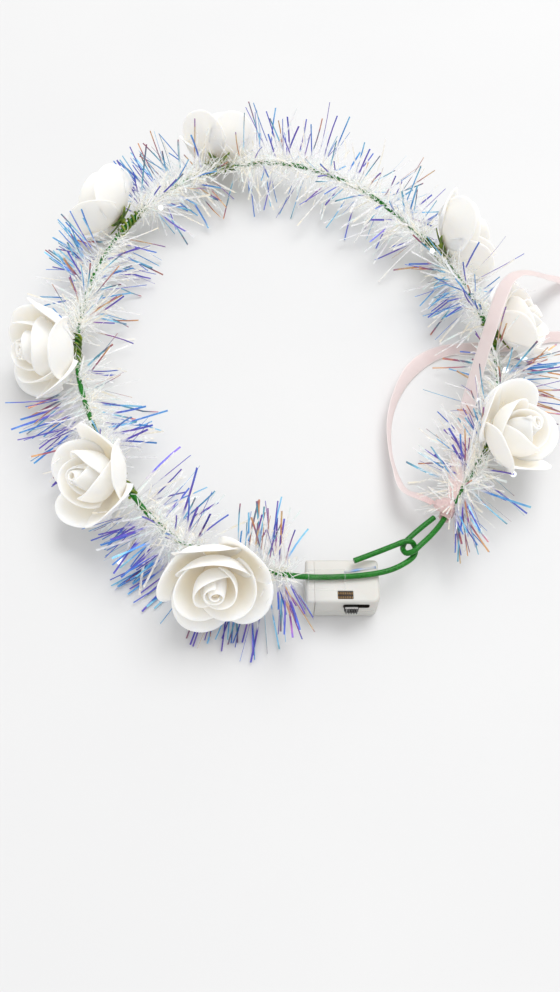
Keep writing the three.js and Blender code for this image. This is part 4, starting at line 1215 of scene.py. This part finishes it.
def case_block(low, high, corners, square):
    edges = (CASE_EDGE["top"], CASE_EDGE["bottom"])
    return recentred(soft_block(low, high, corners, CASE["height"], *edges, CASE_SEAM, square))


def battery_case():
    block = case_block(case_low, case_high, CASE["corners"], -1)
    window = case_window(0, window_floor, CASE["height"] + CUT_PAST)
    slot = front_block(slot_low, slot_high, SLOT["corner"], [(0, case_front - CUT_PAST), (0, slot_back)])
    cutters = [mesh_of("window", [window]), mesh_of("slot", [recentred(slot)])]
    return cut(mesh_of("case", [block]), cutters)


def end_cap():
    low = np.array([case_low[0] - CAP_WIDTH - GAP, case_front])
    high = np.array([case_low[0] - CAP_SEAM, case_high[1]])
    return mesh_of("end_cap", [case_block(low, high, CAP_CORNERS, 1)])


# Black lining of the switch slot, and the contact board with two rows of pads in the window.
def slot_lining():
    inset = LINING["inset"]
    levels = [(inset, case_front + LINING["front"]), (inset, slot_back - LINING["back"])]
    outer = front_block(slot_low, slot_high, LINING["corner"], levels)
    inset = LINING_ROOM["inset"]
    levels = [(inset, case_front - CUT_PAST), (inset, slot_back - LINING_ROOM["back"])]
    inner = front_block(slot_low, slot_high, LINING_ROOM["corner"], levels)
    return cut(mesh_of("lining", [recentred(outer)]), [mesh_of("room", [recentred(inner)])])


def contact_board():
    level = CASE["height"] - BOARD["below"]
    parts = [valued(case_window(BOARD["inset"], window_floor + BOARD["lift"], level), "pad", 0.0)]
    pitch = np.array(WINDOW["size"]) / (PADS["columns"], PADS["rows"])
    margin = np.array(PADS["margin"])
    corners = (PADS["corner"],) * 4
    for column in range(PADS["columns"]):
        for row in range(PADS["rows"]):
            low = np.array(WINDOW["low"]) + pitch * (column, row)
            high = low + pitch - margin
            pad = soft_block(low + margin, high, corners, PADS["height"], SMALL_EDGE, SMALL_EDGE)
            parts.append(recentred(raised(valued(pad, "pad", 1.0), level - PADS["sink"])))
    return mesh_of("contact_board", parts)


def slide_knob():
    """A dark knob with a painted highlight on the front of its top, and ridges across its front, each with
    its own painted highlight.
    """
    low, high = (np.array(corner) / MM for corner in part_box("switch_knob"))
    reach = low[1] + KNOB["front"] - high[1]
    levels = [(inset, high[1] + reach * share) for inset, share in KNOB_STEPS]
    body = front_block((low[0], low[2]), (high[0], high[2]), KNOB["corner"], levels)
    at_top = body["points"][:, 2] > high[2] - KNOB["highlight_edge"]
    at_front = body["points"][:, 1] < high[1] + KNOB["highlight_from"] * reach
    body["values"] = {"worn": (at_top & at_front).astype(float)}
    parts = [body]
    turn = full_turn(RIDGE["sides"])
    y = low[1] + RIDGE["depth"] * (1 + np.sin(turn))
    spots = np.linspace(low[0] + RIDGE["margin"], high[0] - RIDGE["margin"], len(KNOB_RIDGE_HIGHLIGHTS))
    for x, ridge_highlight in zip(spots, KNOB_RIDGE_HIGHLIGHTS):
        ring = np.column_stack([x + RIDGE["half"] * np.cos(turn), y, np.zeros(RIDGE["sides"])])
        ridge = loft([ring + UP * (low[2] + RIDGE["foot"]), ring + UP * (high[2] + RIDGE["top"])])
        parts.append(valued(ridge, "worn", ridge_highlight))
    return mesh_of("slide_knob", parts)


def clear_tape():
    x = np.linspace(TAPE["from"], TAPE["to"], TAPE["mesh"][0])
    wire = band.evenly(*TAPE["span"], TAPE["step"]) - OVAL_CENTRE
    order = np.argsort(wire[:, 0])
    wire_y, wire_z = (np.interp(x, wire[order, 0], wire[order, k])[:, None] for k in (1, 2))
    across = np.linspace(-TAPE["front"], TAPE["back"], TAPE["mesh"][1])[None, :]
    flat = CASE["height"] + GAP
    crest = wire_z + WIRE_RADIUS + TAPE["lift"] - flat
    beat_x, beat_y = TAPE["beat"]
    ripple = TAPE["ripple"] * np.sin(beat_x * x)[:, None] * np.sin(beat_y * across)
    height = flat + crest * np.exp(-((across / TAPE["fold"]) ** 2)) + ripple
    sheet = np.stack([x[:, None] + 0 * across, wire_y + across, height], axis=-1) + OVAL_CENTRE
    # Its outermost rows and columns carry the tape's painted edge highlight.
    border = np.zeros(sheet.shape[:2])
    border[[0, -1]] = 1
    border[:, [0, -1]] = 1
    return mesh_of("tape", [shell(sheet, TAPE["thickness"], {"border": border})])


case_mesh = battery_case()
cap_mesh = end_cap()
add_piece("battery_case", case_mesh, case_plastic, ["battery_box"], sharpest=CASE_SHARPEST)
add_piece("end_cap", cap_mesh, case_plastic, ["battery_cap"], sharpest=CASE_SHARPEST)
add_piece("slot_lining", slot_lining(), slot_black, ["switch_seat"], sharpest=CASE_SHARPEST)
add_piece("contact_board", contact_board(), contact_brass, ["contact_plate"], sharpest=CASE_SHARPEST)
add_piece("slide_knob", slide_knob(), knob_black, ["switch_knob"], "switch", KNOB_SHARPEST)
add_piece("clear_film", clear_tape(), tape_film, ["clear_tape"])


# Tinsel: flat strips of film that stand off the band on all sides and stop at the petals.
def film_strip():
    """A strip of unit width and length, standing on its foot, with its height kept as a value."""
    foot = np.array([(-0.5, -0.5, 0), (0.5, -0.5, 0), (0.5, 0.5, 0), (-0.5, 0.5, 0)])
    part = loft([(foot + UP * z) / MM for z in np.linspace(0, 1, STRIP_STEPS + 1)])
    part["values"] = {"along": part["points"][:, 2] * MM}
    mesh = mesh_of("film_strip", [part])
    mesh.polygons.foreach_set("use_smooth", np.zeros(len(mesh.polygons), bool))
    return mesh


TINSEL_FLOATS = [
    "Shortest", "Longest", "Width", "Thickness", "Low", "High", "Comb", "Lean", "Stray", "Curl", "Tint",
    "Spread", "Drop", "Patchy", "Scatter",
]
PLAIN_INPUTS = ["Comb", "Lean", "Stray", "Curl", "Tint", "Spread", "Drop", "Patchy"]


def tinsel_tree():
    kinds = {label: "NodeSocketFloat" for label in TINSEL_FLOATS}
    kinds |= {"Count": "NodeSocketInt", "Seed": "NodeSocketInt", "Strip": "NodeSocketObject"}
    kinds |= {"Shield": "NodeSocketObject", "Material": "NodeSocketMaterial"}
    maker = Maker(new_tree("tinsel", kinds))
    given = maker.add("NodeGroupInput")

    def random(low, high, number):
        sockets = {2: low, 3: high, "Seed": given.also("Seed") + number}
        return maker.add("FunctionNodeRandomValue", {"data_type": "FLOAT"}, sockets, out=1)

    def either_way(amount, number):
        return amount * random(-1.0, 1.0, number)

    def in_range(low, high, number):
        return given.also(low) + (given.also(high) - given.also(low)) * random(0.0, 1.0, number)

    def keep(geometry, name, kind, value):
        sockets = {"Geometry": geometry, "Name": name, "Value": value}
        return maker.add("GeometryNodeStoreNamedAttribute", {"data_type": kind, "domain": "POINT"}, sockets)

    def kept(name, kind="FLOAT"):
        return maker.add("GeometryNodeInputNamedAttribute", {"data_type": kind}, {"Name": name})

    def combined(x, y, z):
        return maker.add("ShaderNodeCombineXYZ", None, {0: x, 1: y, 2: z})

    def separated(vector):
        return maker.add("ShaderNodeSeparateXYZ", None, {0: vector})

    def geometry_of(item):
        settings = {"transform_space": "RELATIVE"}
        return maker.add("GeometryNodeObjectInfo", settings, {"Object": given.also(item)}, out="Geometry")

    # Where each strip stands, which way it leans and how far it gets.
    curve = maker.add("GeometryNodeMeshToCurve", None, {"Mesh": given})
    sample = {"Curve": curve, "Count": given.also("Count")}
    points = maker.add("GeometryNodeCurveToPoints", {"mode": "COUNT"}, sample)
    tangent = points.also("Tangent")
    place = maker.add("GeometryNodeInputPosition")
    outward = maker.vector("NORMALIZE", maker.vector("CROSS_PRODUCT", (0.0, 0.0, 1.0), tangent))
    angle = in_range("Low", "High", 1)
    comb = maker.noise(COMB_SCALE, 1.0, place)
    lean = given.also("Lean") + given.also("Comb") * (comb - 0.5) + either_way(given.also("Stray"), 2)
    length = in_range("Shortest", "Longest", 3)
    aside = maker.scaled(outward, maker.maths("COSINE", angle))
    flat = separated(maker.vector("ADD", aside, maker.scaled(tangent, lean)))
    foot = separated(place).also(2)
    rise = maker.maths("MAXIMUM", maker.maths("SINE", angle), (TIP_HEIGHT - foot) / length)
    way = maker.vector("NORMALIZE", combined(flat, flat.also(1), rise))
    ray = {
        "Target Geometry": geometry_of("Shield"), "Ray Direction": way, "Ray Length": length,
        "Source Position": maker.vector("ADD", place, maker.scaled(way, RAY_START)),
    }
    hit = maker.add("GeometryNodeRaycast", None, ray)
    stop = hit.also("Hit Distance") + (RAY_START - PETAL_GAP)
    blocked = maker.add("GeometryNodeSwitch", {"input_type": "FLOAT"}, {0: hit, 1: length, 2: stop})
    reach = maker.maths("MINIMUM", length, blocked)

    # Its hue and bend, and whether it is left out as too short or in a bare patch.
    patch = maker.noise(TINT_SCALE, 1.0, place)
    tint = given.also("Tint") + TINT_DRIFT * (patch - 0.5) + either_way(given.also("Spread"), 4)
    curl = given.also("Curl") * reach
    bend = combined(either_way(curl, 6), either_way(curl, 7), either_way(curl, 8))
    rows = keep(points, "tint", "FLOAT", tint)
    rows = keep(rows, "bend", "FLOAT_VECTOR", bend)
    rows = keep(rows, "way", "FLOAT_VECTOR", way)
    rows = keep(rows, "reach", "FLOAT", reach)
    rows = keep(rows, "foot", "FLOAT", foot)
    short = maker.maths("LESS_THAN", kept("reach"), SHORTEST_KEPT * given.also("Shortest"))
    bare = maker.maths("LESS_THAN", maker.noise(BARE_SCALE, 1.0, place), given.also("Patchy"))
    left_out = {"Geometry": rows, "Selection": maker.maths("MAXIMUM", short, bare)}
    rows = maker.add("GeometryNodeDeleteGeometry", {"domain": "POINT"}, left_out)
    strewn = combined(random(-1.0, 1.0, 11), random(-1.0, 1.0, 12), random(-1.0, 1.0, 13))
    shift = {"Geometry": rows, "Offset": maker.scaled(strewn, given.also("Scatter"))}
    rows = maker.add("GeometryNodeSetPosition", None, shift)

    # The strips themselves, bent, and sunk to the table where they drop.
    towards = {"Vector": kept("way", "FLOAT_VECTOR")}
    facing = maker.add("FunctionNodeAlignRotationToVector", {"axis": "Z"}, towards)
    turn = {"Axis": (0.0, 0.0, 1.0), "Angle": random(0.0, 2 * math.pi, 9)}
    twist = maker.add("FunctionNodeAxisAngleToRotation", None, turn)
    both = {"Rotation": facing, "Rotate By": twist}
    turned = maker.add("FunctionNodeRotateRotation", {"rotation_space": "LOCAL"}, both)
    size = combined(given.also("Width") * random(*WIDTH_RANGE, 10), given.also("Thickness"), kept("reach"))
    stand = {"Points": rows, "Instance": geometry_of("Strip"), "Rotation": turned, "Scale": size}
    strips = maker.add("GeometryNodeInstanceOnPoints", None, stand)
    whole = maker.add("GeometryNodeRealizeInstances", None, {"Geometry": strips})
    along = kept("along")
    spot = separated(maker.vector("ADD", place, maker.scaled(kept("bend", "FLOAT_VECTOR"), along * along)))
    height = spot.also(2)
    sinking = (kept("foot") - LYING_HEIGHT) * maker.fitted(along, 0.0, LYING_FROM)
    above = maker.maths("MAXIMUM", height - given.also("Drop") * sinking, LEAST_HEIGHT)
    settle = {"Geometry": whole, "Position": combined(spot, spot.also(1), above)}
    whole = maker.add("GeometryNodeSetPosition", None, settle)
    dress = {"Geometry": whole, "Material": given.also("Material")}
    maker.add("NodeGroupOutput", None, {"Geometry": maker.add("GeometryNodeSetMaterial", None, dress)})
    return maker.tree


FILMS = {"iridescent": iridescent_film, "white": white_film}
tinsel = tinsel_tree()
strip_item = set_down("film_strip", film_strip())
shield_item = set_down("shield", join_meshes("shield", [*shields, case_mesh, cap_mesh]))


def strips(line, row, count, seed):
    row = ROW_DEFAULTS | row
    shortest, longest = row["length"]
    inputs = {label: row[label.lower()] for label in PLAIN_INPUTS}
    inputs |= {"Low": math.radians(row["low"]), "High": math.radians(row["high"])}
    inputs |= {"Shortest": shortest * MM, "Longest": longest * MM, "Scatter": row["scatter"] * MM}
    inputs |= {"Width": row["width"] * MM, "Thickness": STRIP_THICKNESS * MM, "Strip": strip_item}
    inputs |= {"Count": count, "Seed": seed, "Material": FILMS[row["film"]]}
    if not row["drop"]:
        inputs["Shield"] = shield_item
    return grown(line, tinsel, inputs)


def loose_strip():
    share = np.linspace(0, 1, LOOSE_STRIP["mesh"][0])[:, None]
    across = np.linspace(-0.5, 0.5, LOOSE_STRIP["mesh"][1])[None, :]
    start, end = np.array(LOOSE_STRIP["from"]), np.array(LOOSE_STRIP["to"])
    way = unit(end - start)
    aside = np.array([-way[1], way[0]]) * LOOSE_STRIP["width"]
    flat = start + (end - start) * share[..., None] + aside * across[..., None]
    height = CASE["height"] + LOOSE_STRIP["lift"] + LOOSE_STRIP["arch"] * np.sin(np.pi * share) + 0 * across
    sheet = np.concatenate([flat, height[..., None]], axis=-1) + OVAL_CENTRE
    along = LOOSE_STRIP["along"] + LOOSE_STRIP["along_more"] * share
    part = shell(sheet, STRIP_THICKNESS, {"along": along, "tint": LOOSE_STRIP["tint"]})
    return mesh_of("loose_strip", [part])


def spans(start, end):
    """The turns of one stretch, cut where its wire begins to show or is hidden again."""
    cuts = [turn for pair in BARE_WIRE for turn in pair if end < turn < start]
    marks = sorted([start, end, *cuts], reverse=True)
    return list(zip(marks, marks[1:]))


def sides(row, start, end):
    """The rows that one layer comes to over a span: itself, or what is left of it beside bare wire."""
    middle = (start + end) / 2
    if not any(last < middle < first for first, last in BARE_WIRE):
        return [row]
    half = row | {"per_mm": row["per_mm"] / 2}
    outer, inner = half | {"high": PARTING[0]}, half | {"low": PARTING[1]}
    return [inner] if "scatter" in row else [outer, inner]


def tinsel_stretch(number, start, end):
    """The meshes of one stretch by film."""
    seed = SEEDS["first"] + SEEDS["stretch"] * number
    meshes = {film: [] for film in FILMS}
    for index, layer in enumerate(LAYERS):
        parts = [(span, row) for span in spans(start, end) for row in sides(layer, *span)]
        for part, (span, row) in enumerate(parts):
            line = band_stretch(*span, ROOT_STEP)
            count = round(lengths(line)[-1] * row["per_mm"])
            row_seed = seed + SEEDS["row"] * index + SEEDS["part"] * part
            meshes[row["film"]].append(strips(line, row, count, row_seed))
    for index, row in enumerate(BUNCHES):
        if row["stretch"] == number:
            root = band_stretch(row["start"], row["end"], ROOT_STEP)
            row_seed = seed + SEEDS["bunch"] + SEEDS["row"] * index
            meshes[row["film"]].append(strips(root, row, row["count"], row_seed))
    if number == 1:
        meshes["iridescent"].append(loose_strip())
    return meshes


ends = [GARLAND_START_TURN, *(rose["turn"] for rose in ROSES), GARLAND_END_TURN]
for number, (start, end) in enumerate(zip(ends, ends[1:]), 1):
    start -= turn_margin(start, BARE_STEM) if number > 1 else 0
    end += turn_margin(end, BARE_STEM) if number < len(ends) - 1 else 0
    meshes = tinsel_stretch(number, start, end)
    mesh = join_meshes("tinsel", [part for film in FILMS for part in meshes[film]])
    add_piece(f"film_tinsel_{number}", mesh, iridescent_film, [f"tinsel_{number}"])
    add_material(mesh, white_film, sum(len(part.polygons) for part in meshes["iridescent"]))
bpy.data.objects.remove(strip_item)
bpy.data.objects.remove(shield_item)

# Table, soft light from behind and above, and a bright room.
table_corners = [(-1, -1), (1, -1), (1, 1), (-1, 1)]
table_points = [(x * TABLE_HALF, y * TABLE_HALF, TABLE_TOP) for x, y in table_corners]
table_mesh = bpy.data.meshes.new("table")
table_mesh.from_pydata(table_points, [], [(0, 1, 2, 3)])
table_mesh.materials.append(table_top)
set_down("table", table_mesh)


def area_light(name, place, size, power):
    """A round lamp that faces the origin."""
    data = bpy.data.lights.new(name, "AREA")
    data.shape = "DISK"
    data.size = size
    data.energy = power
    lamp = bpy.data.objects.new(name, data)
    lamp.location = place
    lamp.rotation_euler = (-Vector(place)).to_track_quat("-Z", "Y").to_euler()
    bpy.context.scene.collection.objects.link(lamp)


for lamp_row in LAMPS:
    area_light(**lamp_row)
world = bpy.data.worlds.new("room")
world.use_nodes = True
world.node_tree.nodes["Background"].inputs["Color"].default_value = (1, 1, 1, 1)
world.node_tree.nodes["Background"].inputs["Strength"].default_value = ROOM_BRIGHTNESS
bpy.context.scene.world = world
bpy.context.scene.view_settings.view_transform = "Standard"
